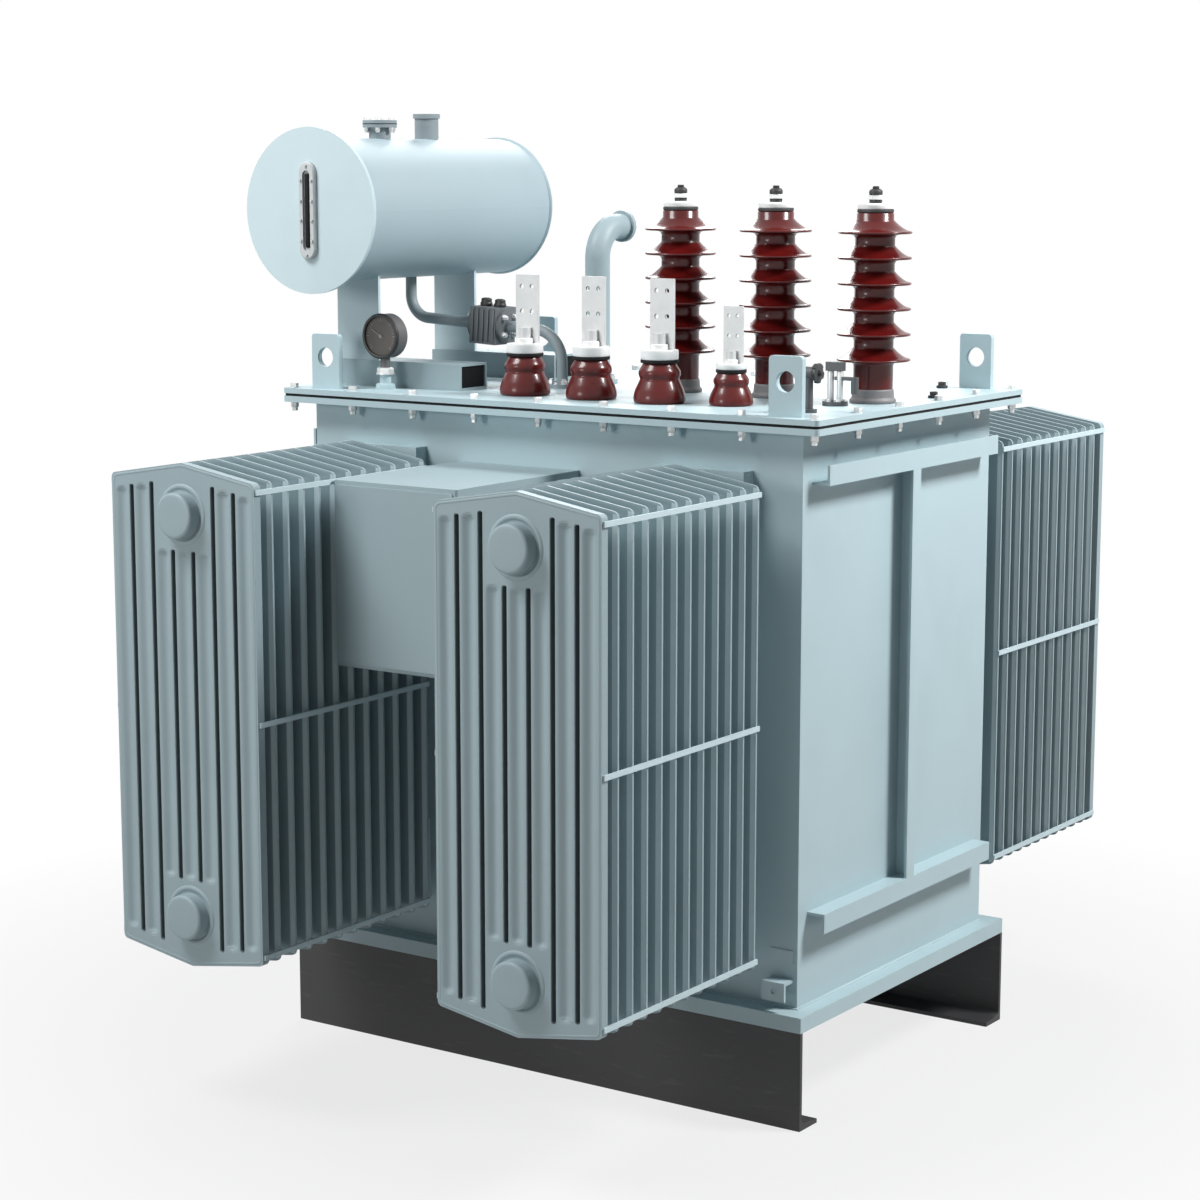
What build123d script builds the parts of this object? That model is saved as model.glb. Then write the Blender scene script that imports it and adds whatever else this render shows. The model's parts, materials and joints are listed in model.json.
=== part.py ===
from build123d import *
import os

# Oil-filled power transformer in millimetres.
# X runs along the tank, -Y is the low-voltage front and Z is the height above the floor.

# Skid channels and base plate
skid_height = 280
skid_flange = 95
skid_web = 12
skid_toe = 12
skid_root = 20
skid_root_radius = 14
skid_cope = 110
base_end_overhang = 50
base_side_overhang = 64
base_thickness = 44

# Tank shell, rim and cover
tank_length = 1700
tank_width = 1100
tank_height = 1618
wall = 8
rim_end_overhang = 80
rim_side_overhang = 62
rim_thickness = 18
gasket_thickness = 8
gasket_inset = 3
cover_thickness = 16
cover_corner_radius = 12

# Angles welded to the end walls
angle_leg = 55
angle_thickness = 8
angle_length = 1000
upright_width = 46
upright_row = -5
upper_angle_drop = 107
lower_angle_rise = 268

# Lifting lugs on the cover
lug_width = 104
lug_height = 163
lug_thickness = 18
lug_corner_radius = 10
lug_hole_radius = 29
lug_hole_rise = 94
lug_end_distance = 130
lug_side_distance = 57

# Radiators
fin_count = 12
fin_pitch = 66
fin_width = 520
fin_gable = 42
fin_thickness = 14
fin_seam = 4
fin_corner_radius = 16
flute_count = 7
panel_edge_chamfer = 5
groove_width = 37
groove_depth = 8
groove_taper = 40
groove_edge_margin = 38
groove_header_margin = 97
header_radius = 36
header_sides = 8
header_drop = 249
header_rise = 247
header_corner_drop = 100
header_corner_rise = 104
radiator_end_distance = 288
front_radiator_shift = -18
header_stub = 95
header_pad_width = 300
header_pad_height = 240
header_pad_thickness = 50
cap_ring_radius = 80
cap_ring_height = 5
cap_radius = 64
cap_height = 38
cap_edge_radius = 10
tie_thickness = 6
tie_height = 14
tie_margin = 23
tie_middle_rise = 8

# Terminal box between the front radiators
box_left_clearance = 6
box_right_clearance = 160
box_depth = 570
box_height = 518
box_drop = 165
box_door_thickness = 10
box_door_margin = 12
box_corner_radius = 8

# Low-voltage bushings, with a smaller neutral at the right
lv_count = 3
lv_pitch = 235
lv_edge_distance = 212
lv_end_distance = 405
lv_radius = 74
lv_height = 114
lv_neck = 47
lv_shoulder = 60
lv_groove = 55
neutral_radius = 62
neutral_height = 92
neutral_neck = 39
neutral_shoulder = 50
neutral_groove = 46
neutral_setback = 50
neutral_shift = -28
lv_cap_radius = 53
lv_cap_height = 36
lv_stud_radius = 19
lv_stud_height = 46
flag_width = 78
flag_height = 199
flag_thickness = 10
flag_hole_radius = 7
flag_hole_across = 36
flag_hole_up = 72
flag_hole_top = 34
neutral_cap_radius = 42
neutral_cap_height = 24
neutral_stud_radius = 15
neutral_stud_height = 36
neutral_flag_width = 62
neutral_flag_height = 160
neutral_flag_thickness = 8
neutral_hole_radius = 5.5
neutral_hole_across = 28
neutral_hole_up = 56
neutral_hole_top = 26

# High-voltage bushings
hv_count = 3
hv_pitch = 325
hv_row = -50
hv_end_distance = 148
hv_foot_radius = 66
hv_foot_height = 12
hv_sleeve_radius = 59
hv_sleeve_height = 28
hv_core_radius = 56
hv_shed_radius = 104
hv_shed_count = 6
hv_shed_pitch = 71.2
hv_shed_drop = 31
hv_shed_rim = 7
hv_plain_height = 78
hv_collar_radius = 52
hv_collar_height = 21
hv_cap_radius = 50
hv_cap_height = 26
hv_nut_radius = 18
hv_nut_height = 16
hv_stud_radius = 10
hv_stud_height = 31

# Conservator and its supports
conservator_edge_distance = 120
conservator_rise = 529
conservator_radius = 212
conservator_wall = 6
conservator_front = -615
conservator_length = 940
conservator_plate_radius = 245
conservator_plate_thickness = 12
gauge_width = 61
gauge_height = 286
gauge_depth = 14
gauge_edge_chamfer = 4
gauge_slot_width = 28
gauge_slot_height = 236
gauge_slot_depth = 8
beam_width = 130
beam_height = 78
beam_wall = 7
beam_left_distance = 40
beam_end_clearance = 230
beam_front_row = -410
beam_rear_row = 70
upright_plate_width = 160
upright_plate_thickness = 10
upright_flange_depth = 60
upright_flange_thickness = 8
upright_setback = 14

# Necks on top of the conservator
filler_row = -280
filler_radius = 33
filler_flange_radius = 52
filler_flange_thickness = 11
filler_height = 55
breather_row = -50
breather_radius = 37
breather_height = 76
breather_lip_radius = 42
breather_lip_height = 14

# Gas relay pipe between the conservator and the cover
pipe_radius = 17
pipe_bend = 70
pipe_landing_bend = 100
pipe_slope = 3
pipe_row = -135
pipe_rise = 180
pipe_landing_distance = 575
relay_distance = 315
relay_length = 120
relay_width = 104
relay_height = 112
relay_flange_radius = 50
relay_flange_thickness = 12
relay_knob_radius = 15
relay_knob_height = 20
relay_knob_spacing = 52
pipe_flange_radius = 45
pipe_flange_thickness = 12

# Pressure vent with a gooseneck
vent_clearance = 372
vent_row = 60
vent_radius = 38
vent_bend = 95
vent_rise = 475
vent_reach = 45
vent_flange_radius = 48
vent_flange_thickness = 14
vent_foot_radius = 62
vent_foot_thickness = 14

# Dial thermometer
dial_distance = 284
dial_edge_distance = 142
dial_radius = 66
dial_depth = 50
dial_bezel = 8
dial_recess = 6
dial_rise = 158
dial_neck_radius = 15
dial_pocket_radius = 17
dial_pocket_height = 60

# Tap changer head and small valve near the front right corner
tap_end_distance = 190
tap_row = -190
tap_foot_radius = 36
tap_foot_thickness = 12
tap_post_radius = 8
tap_post_height = 85
tap_post_spacing = 30
tap_block_width = 50
tap_block_depth = 26
tap_block_height = 25
tap_crank_drop = 16
tap_crank_length = 62
tap_crank_width = 12
tap_crank_thickness = 10
tap_grip_radius = 11
tap_grip_height = 46
valve_end_distance = 140
valve_edge_distance = 192
valve_foot_radius = 22
valve_foot_thickness = 10
valve_pipe_radius = 11
valve_rise = 108
valve_body_radius = 17
valve_body_length = 30
valve_spindle_radius = 5
valve_spindle_length = 22
valve_wheel_radius = 24
valve_wheel_thickness = 8

# Earthing brackets low on the long walls
earth_width = 72
earth_height = 54
earth_depth = 50
earth_thickness = 8
earth_rise = 30
earth_end_distance = 48
earth_hole_radius = 8
earth_pad_width = 74
earth_pad_height = 36
earth_pad_thickness = 4
earth_pad_gap = 46
earth_pad_end_distance = 48

# Levels and reaches worked out from the sizes above
base_top = skid_height + base_thickness
tank_top = base_top + tank_height
cover_bottom = tank_top + gasket_thickness
cover_top = cover_bottom + cover_thickness
end_x = tank_length / 2
side_y = tank_width / 2
base_x = end_x + base_end_overhang
base_y = side_y + base_side_overhang
cover_x = end_x + rim_end_overhang
cover_y = side_y + rim_side_overhang
lv_row = lv_edge_distance - cover_y
neutral_row = lv_row + neutral_setback
dial_row = dial_edge_distance - cover_y
valve_row = valve_edge_distance - cover_y
radiator_offset = end_x - radiator_end_distance
radiator_edge = radiator_offset - fin_width / 2 - tie_thickness
header_high = tank_top - header_drop
header_spacing = tank_height - header_drop - header_rise
header_low = header_high - header_spacing
fin_high = header_high + header_corner_drop
fin_corner_height = header_spacing + header_corner_drop + header_corner_rise
fin_low = fin_high - fin_corner_height
fin_stack = (fin_count - 1) * fin_pitch + fin_thickness
pad_y = side_y + header_pad_thickness
radiator_y = pad_y + header_stub + fin_stack
conservator_x = conservator_edge_distance - cover_x
conservator_z = cover_top + conservator_rise
beam_top = cover_top + beam_height
pipe_z = cover_top + pipe_rise

# The origin is under the middle of the whole outline, so the tank stands a little to the right of it
tank_x = (conservator_plate_radius - conservator_edge_distance) / 2


def block(x, y, z):
    """A box between the two ends given along each axis."""
    spans = (x, y, z)
    size = [high - low for low, high in spans]
    middle = [(low + high) / 2 for low, high in spans]
    return Pos(*middle) * Box(*size)


def post(radius, height, x, y, z):
    """An upright cylinder standing at z."""
    return Pos(x, y, z + height / 2) * Cylinder(radius, height)


def turned(*profile):
    """A solid of revolution about Z from its half profile of lines and arcs in the XZ plane."""
    return revolve(Plane.XZ * make_face(list(profile)), Axis.Z)


def skid_channel():
    """The front skid channel: web outwards, tapered flanges pointing in, the top one coped at both ends."""
    outline = Polyline(
        (0, 0),
        (skid_flange, 0),
        (skid_flange, skid_toe),
        (skid_web, skid_root),
        (skid_web, skid_height - skid_root),
        (skid_flange, skid_height - skid_toe),
        (skid_flange, skid_height),
        (0, skid_height),
        close=True,
    )
    profile = make_face(outline)
    roots = [v for v in profile.vertices() if v.X == skid_web]
    profile = fillet(roots, skid_root_radius)
    bar = extrude(Plane.YZ * profile, 2 * base_x)
    flange = (skid_web, skid_flange)
    cope_z = (skid_height / 2, skid_height)
    for start in (0, 2 * base_x - skid_cope):
        bar -= block((start, start + skid_cope), flange, cope_z)
    return Pos(-base_x, -base_y, 0) * bar


def tank_walls():
    """Two long walls with the two end walls between them."""
    z = (base_top, tank_top)
    inner_y = side_y - wall
    return {
        "tank_front_wall": block((-end_x, end_x), (-side_y, -inner_y), z),
        "tank_rear_wall": block((-end_x, end_x), (inner_y, side_y), z),
        "tank_left_wall": block((-end_x, wall - end_x), (-inner_y, inner_y), z),
        "tank_right_wall": block((end_x - wall, end_x), (-inner_y, inner_y), z),
    }


def frame_plate(half_x, half_y, inner_x, inner_y, bottom, thickness):
    """A flat rectangular frame with rounded outer corners."""
    face = RectangleRounded(2 * half_x, 2 * half_y, cover_corner_radius) - Rectangle(2 * inner_x, 2 * inner_y)
    return Pos(0, 0, bottom) * extrude(face, thickness)


def tank_rim():
    """The flange round the outside of the tank's mouth."""
    return frame_plate(cover_x, cover_y, end_x, side_y, tank_top - rim_thickness, rim_thickness)


def cover_gasket():
    """The seal between the rim and the cover."""
    half_x = cover_x - gasket_inset
    half_y = cover_y - gasket_inset
    return frame_plate(half_x, half_y, end_x - wall, side_y - wall, tank_top, gasket_thickness)


def tank_cover():
    """The bolted cover plate."""
    face = RectangleRounded(2 * cover_x, 2 * cover_y, cover_corner_radius)
    return Pos(0, 0, cover_bottom) * extrude(face, cover_thickness)


def level_angle(top, shelf_top):
    """A horizontal angle on the right end wall: an upright face at its outer edge and a shelf back to the wall."""
    outer = end_x + angle_leg
    y = (-angle_length / 2, angle_length / 2)
    shelf = block((end_x, outer), y, (shelf_top - angle_thickness, shelf_top))
    face = block((outer - angle_thickness, outer), y, (top - angle_leg, top))
    return shelf + face


def end_angles():
    """Upper angle with its shelf at the bottom and lower angle with its shelf on top, on the right end wall."""
    upper_top = tank_top - upper_angle_drop
    lower_top = base_top + lower_angle_rise
    upper_shelf = upper_top - angle_leg + angle_thickness
    return [level_angle(upper_top, upper_shelf), level_angle(lower_top, lower_top)]


def end_upright():
    """The upright angle between the two level angles of the right end wall."""
    outer = end_x + angle_leg
    front = upright_row - upright_width / 2
    rear = upright_row + upright_width / 2
    z = (base_top + lower_angle_rise, tank_top - upper_angle_drop - angle_leg)
    face = block((outer - angle_thickness, outer), (front, rear), z)
    return face + block((end_x, outer), (rear - angle_thickness, rear), z)


def lifting_lug():
    """One lug plate facing the long side, with its sling hole, standing at the origin."""
    plate = Pos(0, lug_height / 2) * Rectangle(lug_width, lug_height)
    plate = fillet(plate.vertices().group_by(Axis.Y)[-1], lug_corner_radius)
    plate -= Pos(0, lug_hole_rise) * Circle(lug_hole_radius)
    return extrude(Plane.XZ * plate, lug_thickness / 2, both=True)


def lifting_lugs():
    """The four lugs near the corners of the cover."""
    x = cover_x - lug_end_distance
    y = cover_y - lug_side_distance
    places = [Pos(sx * x, sy * y, cover_top) for sx in (-1, 1) for sy in (-1, 1)]
    return [place * lifting_lug() for place in places]


def fin_outline():
    """Six-sided outline of a radiator element with rounded corners, gabled at both ends, in width and height."""
    half = fin_width / 2
    outline = make_face(Polyline(
        (-half, fin_low),
        (0, fin_low - fin_gable),
        (half, fin_low),
        (half, fin_high),
        (0, fin_high + fin_gable),
        (-half, fin_high),
        close=True,
    ))
    return fillet(outline.vertices(), fin_corner_radius)


def inner_fin():
    """A fluted element centred on Y = 0: a lens-shaped duct in each flute and thin seams between."""
    step = fin_width / flute_count / 2
    xs = [i * step - fin_width / 2 for i in range(2 * flute_count + 1)]
    ys = [fin_thickness / 2 if i % 2 else fin_seam / 2 for i in range(len(xs))]
    upper = list(zip(xs, ys))
    lower = [(x, -y) for x, y in reversed(upper)]
    section = make_face(Polyline(*upper, *lower, close=True))
    height = fin_corner_height + 2 * fin_gable
    bar = Pos(0, 0, fin_low - fin_gable) * extrude(section, height)
    return bar & extrude(Plane.XZ * fin_outline(), fin_thickness, both=True)


def panel_groove(index):
    """The pressed groove between two flutes of the outer panel, deeper at its middle than its edge."""
    x = index * fin_width / flute_count - fin_width / 2
    beside_header = abs(x) < header_radius + groove_width
    if beside_header:
        top = header_high - groove_header_margin
        bottom = header_low + groove_header_margin
    else:
        rise = fin_gable * (1 - abs(x) / (fin_width / 2)) - groove_edge_margin
        top = fin_high + rise
        bottom = fin_low - rise
    slot = Pos(x, (top + bottom) / 2) * SlotOverall(top - bottom, groove_width, rotation=90)
    return extrude(Plane.XZ * slot, -groove_depth, taper=groove_taper)


def header_cap(level):
    """The domed cap that closes a header on the outer panel."""
    centre = Pos(0, level)
    ring = extrude(Plane.XZ * (centre * Circle(cap_ring_radius)), cap_ring_height)
    dome = extrude(Plane.XZ * (centre * Circle(cap_radius)), cap_height)
    dome = fillet(dome.edges().group_by(Axis.Y)[0], cap_edge_radius)
    return ring + dome


def radiator():
    """One radiator with its outer face at Y = 0 and its headers running towards +Y."""
    panel = extrude(Plane.XZ * fin_outline(), -fin_thickness)
    panel = chamfer(panel.faces().sort_by(Axis.Y)[0].edges(), panel_edge_chamfer)
    panel -= [panel_groove(i) for i in range(1, flute_count)]
    fin = inner_fin()
    fins = [Pos(0, fin_thickness / 2 + i * fin_pitch, 0) * fin for i in range(1, fin_count)]
    turn = 180 / header_sides
    section = RegularPolygon(header_radius, header_sides, rotation=turn)
    length = fin_stack + header_stub - fin_thickness / 2
    levels = (header_low, header_high)
    start = Pos(0, fin_thickness / 2, 0)
    headers = [start * extrude(Plane.XZ * (Pos(0, z) * section), -length) for z in levels]
    caps = [header_cap(z) for z in levels]
    return panel + fins + headers + caps


def tie_bars():
    """Flat bars along both edges of a radiator's fins, in the place of radiator()."""
    edge = fin_width / 2
    middle = (fin_low + fin_high) / 2 + tie_middle_rise
    levels = (fin_low + tie_margin, middle, fin_high - tie_margin)
    spans = ((-edge - tie_thickness, -edge), (edge, edge + tie_thickness))
    y = (panel_edge_chamfer, fin_stack)
    return [block(x, y, (z - tie_height / 2, z + tie_height / 2)) for z in levels for x in spans]


def header_pads(shift):
    """The blocks on the front wall that carry the radiator headers, moved along by the shift."""
    pads = []
    for x in (-radiator_offset, radiator_offset):
        for z in (header_low, header_high):
            span_x = (x + shift - header_pad_width / 2, x + shift + header_pad_width / 2)
            span_z = (z - header_pad_height / 2, z + header_pad_height / 2)
            pads.append(block(span_x, (-pad_y, -side_y), span_z))
    return pads


def at_front(x):
    return Pos(x + front_radiator_shift, -radiator_y, 0)


def at_rear(x):
    return Pos(x, radiator_y, 0) * Rot(0, 0, 180)


def terminal_box():
    """The terminal box's body and its plain front door."""
    top = tank_top - box_drop
    left = front_radiator_shift - radiator_edge + box_left_clearance
    right = front_radiator_shift + radiator_edge - box_right_clearance
    span_x = (left, right)
    span_z = (top - box_height, top)
    front = -side_y - box_depth
    body = block(span_x, (front, -side_y), span_z)
    upright_edges = body.edges().filter_by(Axis.Z).group_by(Axis.Y)[0]
    body = fillet(upright_edges, box_corner_radius)
    door_x = (span_x[0] + box_door_margin, span_x[1] - box_door_margin)
    door_z = (span_z[0] + box_door_margin, span_z[1] - box_door_margin)
    door = block(door_x, (front - box_door_thickness, front), door_z)
    door = fillet(door.edges().filter_by(Axis.Y), box_corner_radius)
    return body, door


def lv_porcelain(radius, shoulder, groove, neck, height):
    """A low-voltage bushing: two rounded cones with a groove between them and a plain neck."""
    skirt_top = 0.18 * height
    groove_z = 0.60 * height
    shoulder_low = 0.68 * height
    shoulder_high = 0.80 * height
    edge = 0.04 * height
    belly = ((radius + groove) / 2 + edge, (skirt_top + groove_z) / 2)
    return turned(
        Line((0, 0), (radius - edge, 0)),
        Line((radius - edge, 0), (radius, edge)),
        Line((radius, edge), (radius, skirt_top)),
        ThreePointArc((radius, skirt_top), belly, (groove, groove_z)),
        Line((groove, groove_z), (shoulder, shoulder_low)),
        Line((shoulder, shoulder_low), (shoulder, shoulder_high)),
        Line((shoulder, shoulder_high), (neck, height - edge)),
        Line((neck, height - edge), (neck, height)),
        Line((neck, height), (0, height)),
        Line((0, height), (0, 0)),
    )


def flag_terminal(cap_radius, cap_height, stud_radius, stud_height, flag):
    """Cap and stud of a low-voltage bushing with a drilled flag behind them, standing at the origin."""
    cap = post(cap_radius, cap_height, 0, 0, 0)
    stud = post(stud_radius, stud_height, 0, 0, cap_height)
    return cap + stud + Pos(0, stud_radius / 2, cap_height) * flag


def drilled_flag(width, height, thickness, hole_radius, across, up, top):
    """An upright plate with two pairs of holes, its foot and front face at the origin."""
    face = Pos(0, height / 2) * Rectangle(width, height)
    middle = height - top - up / 2
    face -= Pos(0, middle) * GridLocations(across, up, 2, 2) * Circle(hole_radius)
    return extrude(Plane.XZ * face, -thickness)


def lv_terminal():
    """Terminal of a phase bushing."""
    flag = drilled_flag(
        flag_width, flag_height, flag_thickness, flag_hole_radius, flag_hole_across, flag_hole_up, flag_hole_top
    )
    return flag_terminal(lv_cap_radius, lv_cap_height, lv_stud_radius, lv_stud_height, flag)


def neutral_terminal():
    """Smaller terminal of the neutral bushing."""
    flag = drilled_flag(
        neutral_flag_width,
        neutral_flag_height,
        neutral_flag_thickness,
        neutral_hole_radius,
        neutral_hole_across,
        neutral_hole_up,
        neutral_hole_top,
    )
    return flag_terminal(neutral_cap_radius, neutral_cap_height, neutral_stud_radius, neutral_stud_height, flag)


def hv_porcelain():
    """A high-voltage bushing: a plain foot, flared sheds at an even pitch and a collar."""
    lines = [Line((0, 0), (hv_core_radius, 0))]
    corner = (hv_core_radius, 0)
    for i in range(hv_shed_count):
        z = hv_plain_height + i * hv_shed_pitch
        top = hv_core_radius if i < hv_shed_count - 1 else hv_collar_radius
        rim_low = (hv_shed_radius, z)
        rim_high = (hv_shed_radius, z + hv_shed_rim)
        root = (top, z + hv_shed_rim + hv_shed_drop)
        under = (hv_core_radius, z - hv_shed_rim / 2)
        hollow = ((hv_shed_radius + 2 * top) / 3, z + hv_shed_rim + hv_shed_drop / 3)
        lines += [Line(corner, under), Line(under, rim_low), Line(rim_low, rim_high)]
        lines.append(ThreePointArc(rim_high, hollow, root))
        corner = root
    top_z = corner[1] + hv_collar_height
    lines += [
        Line(corner, (hv_collar_radius, top_z)),
        Line((hv_collar_radius, top_z), (0, top_z)),
        Line((0, top_z), (0, 0)),
    ]
    return turned(*lines)


def hv_height():
    """Height of the high-voltage porcelain alone."""
    last_shed = hv_plain_height + (hv_shed_count - 1) * hv_shed_pitch
    return last_shed + hv_shed_rim + hv_shed_drop + hv_collar_height


def hv_foot():
    """The cast clamping flange of a high-voltage bushing."""
    sleeve = post(hv_sleeve_radius, hv_sleeve_height, 0, 0, hv_foot_height)
    return post(hv_foot_radius, hv_foot_height, 0, 0, 0) + sleeve


def hv_terminal():
    """Metal cap, nut and stud on top of a high-voltage bushing."""
    nut = Pos(0, 0, hv_cap_height) * extrude(RegularPolygon(hv_nut_radius, 6), hv_nut_height)
    stud = post(hv_stud_radius, hv_stud_height, 0, 0, hv_cap_height + hv_nut_height)
    return post(hv_cap_radius, hv_cap_height, 0, 0, 0) + nut + stud


def lv_places():
    """Middles of the low-voltage bushings from left to right, the neutral last."""
    last = cover_x - lv_end_distance
    phases = [last - i * lv_pitch for i in range(lv_count, 0, -1)]
    return phases + [last + neutral_shift]


def hv_places():
    """Middles of the high-voltage bushings from left to right."""
    last = cover_x - hv_end_distance
    return [last - i * hv_pitch for i in range(hv_count - 1, -1, -1)]


def bushings():
    """Porcelains, clamping flanges and terminals of both rows."""
    nodes = {}
    *phases, neutral_x = lv_places()
    for number, x in enumerate(phases, 1):
        phase = lv_porcelain(lv_radius, lv_shoulder, lv_groove, lv_neck, lv_height)
        nodes[f"lv_porcelain_{number}"] = Pos(x, lv_row, cover_top) * phase
    neutral = lv_porcelain(neutral_radius, neutral_shoulder, neutral_groove, neutral_neck, neutral_height)
    nodes["neutral_porcelain"] = Pos(neutral_x, neutral_row, cover_top) * neutral
    terminals = [Pos(x, lv_row, cover_top + lv_height) * lv_terminal() for x in phases]
    terminals.append(Pos(neutral_x, neutral_row, cover_top + neutral_height) * neutral_terminal())
    nodes["lv_terminals"] = terminals
    foot_top = cover_top + hv_foot_height + hv_sleeve_height
    for number, x in enumerate(hv_places(), 1):
        nodes[f"hv_porcelain_{number}"] = Pos(x, hv_row, foot_top) * hv_porcelain()
    nodes["hv_flanges"] = [Pos(x, hv_row, cover_top) * hv_foot() for x in hv_places()]
    nodes["hv_terminals"] = [Pos(x, hv_row, foot_top + hv_height()) * hv_terminal() for x in hv_places()]
    return nodes


def conservator():
    """The expansion drum: a shell with a wide front plate and a flush rear plate."""
    rear = conservator_front + conservator_length
    thick = conservator_plate_thickness
    axis = Plane.XZ * Pos(conservator_x, conservator_z)

    def disc(radius, y0, y1):
        face = axis * Circle(radius)
        return Pos(0, y0, 0) * extrude(face, y0 - y1)

    shell = disc(conservator_radius, conservator_front + thick, rear - thick)
    shell -= disc(conservator_radius - conservator_wall, conservator_front, rear)
    return {
        "conservator_shell": shell,
        "conservator_front_plate": disc(conservator_plate_radius, conservator_front, conservator_front + thick),
        "conservator_rear_plate": disc(conservator_radius, rear - thick, rear),
    }


def oil_gauge():
    """The long oval oil level gauge on the conservator's front plate, with its recessed glass slot."""
    frame = Pos(conservator_x, conservator_z) * SlotOverall(gauge_height, gauge_width, rotation=90)
    slot = Pos(conservator_x, conservator_z) * SlotOverall(gauge_slot_height, gauge_slot_width, rotation=90)
    body = extrude(Plane.XZ * frame, gauge_depth)
    body = chamfer(body.edges().group_by(Axis.Y)[0], gauge_edge_chamfer)
    body -= Pos(0, -gauge_depth, 0) * extrude(Plane.XZ * slot, -gauge_slot_depth)
    return Pos(0, conservator_front, 0) * body


def support_beam(row):
    """A rectangular tube lying on the cover along X, open at its ends."""
    span_x = (beam_left_distance - cover_x, lv_places()[0] - beam_end_clearance)
    outer = block(span_x, (row, row + beam_width), (cover_top, beam_top))
    inner_y = (row + beam_wall, row + beam_width - beam_wall)
    return outer - block(span_x, inner_y, (cover_top + beam_wall, beam_top - beam_wall))


def support_upright(row):
    """An angle standing on a beam, its flange at the left, cut to the drum on top."""
    front = row + upright_setback
    half = upright_plate_width / 2
    z = (beam_top, conservator_z)
    web_x = (conservator_x - half, conservator_x + half)
    body = block(web_x, (front, front + upright_plate_thickness), z)
    flange_x = (web_x[0], web_x[0] + upright_flange_thickness)
    body += block(flange_x, (front, front + upright_flange_depth), z)
    return cut_to_drum(body)


def filler_neck():
    """The flanged and blanked filler on top of the drum."""
    top = conservator_z + conservator_radius + filler_height
    neck = post(filler_radius, top - conservator_z, conservator_x, filler_row, conservator_z)
    lid_z = top - 2 * filler_flange_thickness
    return cut_to_drum(neck) + post(filler_flange_radius, 2 * filler_flange_thickness, conservator_x, filler_row, lid_z)


def breather_neck():
    """The plain pipe with a lipped cap on top of the drum."""
    top = conservator_z + conservator_radius + breather_height
    neck = post(breather_radius, top - conservator_z, conservator_x, breather_row, conservator_z)
    lip_z = top - breather_lip_height
    return cut_to_drum(neck) + post(breather_lip_radius, breather_lip_height, conservator_x, breather_row, lip_z)


def cut_to_drum(piece):
    """Trims a piece to the outside of the conservator shell."""
    drum = Pos(conservator_x, 0, conservator_z) * Rot(90, 0, 0) * Cylinder(conservator_radius, 4 * conservator_length)
    return piece - drum


def swept_pipe(radius, bend, *points):
    """A round pipe along straight runs with one bend radius."""
    path = FilletPolyline(*points, radius=bend)
    start = Plane(origin=path @ 0, z_dir=path % 0)
    return sweep(start * Circle(radius), path)


def relay_pipes():
    """Pipe from the drum's underside to the relay, the relay, and the pipe from there to the cover."""
    relay_x = conservator_x + relay_distance
    landing_x = conservator_x + pipe_landing_distance
    relay = Pos(relay_x, pipe_row, pipe_z) * Rot(0, pipe_slope, 0)
    ends = [relay * Pos(side * relay_length / 2, 0, 0) for side in (-1, 1)]
    run = Rot(0, pipe_slope, 0) * Pos(1, 0, 0)
    fall = run.position.Z / run.position.X
    high = swept_pipe(
        pipe_radius,
        pipe_bend,
        (conservator_x, pipe_row, conservator_z - conservator_radius / 2),
        (conservator_x, pipe_row, pipe_z + (conservator_x - relay_x) * fall),
        ends[0].position,
    )
    low = swept_pipe(
        pipe_radius,
        pipe_landing_bend,
        ends[1].position,
        (landing_x, pipe_row, pipe_z + (landing_x - relay_x) * fall),
        (landing_x, pipe_row, cover_top),
    )
    low += post(pipe_flange_radius, pipe_flange_thickness, landing_x, pipe_row, cover_top)
    return {"relay_pipe_upper": cut_to_drum(high), "relay_pipe_lower": low, "gas_relay": relay * gas_relay()}


def gas_relay():
    """The relay's cast body between two round flanges along X, with two terminal caps on top."""
    half = relay_length / 2
    inner = half - relay_flange_thickness
    body = Box(2 * inner, relay_width, relay_height)
    for left in (-half, inner):
        body += Pos(left, 0, 0) * extrude(Plane.YZ * Circle(relay_flange_radius), relay_flange_thickness)
    for side in (-1, 1):
        body += post(relay_knob_radius, relay_knob_height, side * relay_knob_spacing / 2, 0, relay_height / 2)
    return body


def vent_pipe():
    """The pressure vent: an upright pipe that turns to the rear and ends in a flange."""
    x = hv_places()[0] - vent_clearance
    top = cover_top + vent_rise
    mouth = vent_row + vent_bend + vent_reach
    pipe = swept_pipe(vent_radius, vent_bend, (x, vent_row, cover_top), (x, vent_row, top), (x, mouth, top))
    flange = Pos(x, mouth, top) * extrude(Plane.XZ * Circle(vent_flange_radius), vent_flange_thickness)
    return pipe + flange + post(vent_foot_radius, vent_foot_thickness, x, vent_row, cover_top)


def dial_place():
    return Pos(dial_distance - cover_x, dial_row, cover_top)


def dial_pocket():
    """The pocket on the cover that takes the dial's stem."""
    return dial_place() * post(dial_pocket_radius, dial_pocket_height, 0, 0, 0)


def dial_thermometer():
    """The dial gauge facing the front, on the neck that stands in its pocket."""
    case = extrude(Plane.XZ * Circle(dial_radius), dial_depth / 2, both=True)
    glass = Plane.XZ * Circle(dial_radius - dial_bezel)
    case -= Pos(0, -dial_depth / 2, 0) * extrude(glass, -dial_recess)
    neck_height = dial_rise - dial_radius / 2 - dial_pocket_height
    neck = post(dial_neck_radius, neck_height, 0, 0, dial_pocket_height)
    return dial_place() * (Pos(0, 0, dial_rise) * case + neck)


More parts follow.
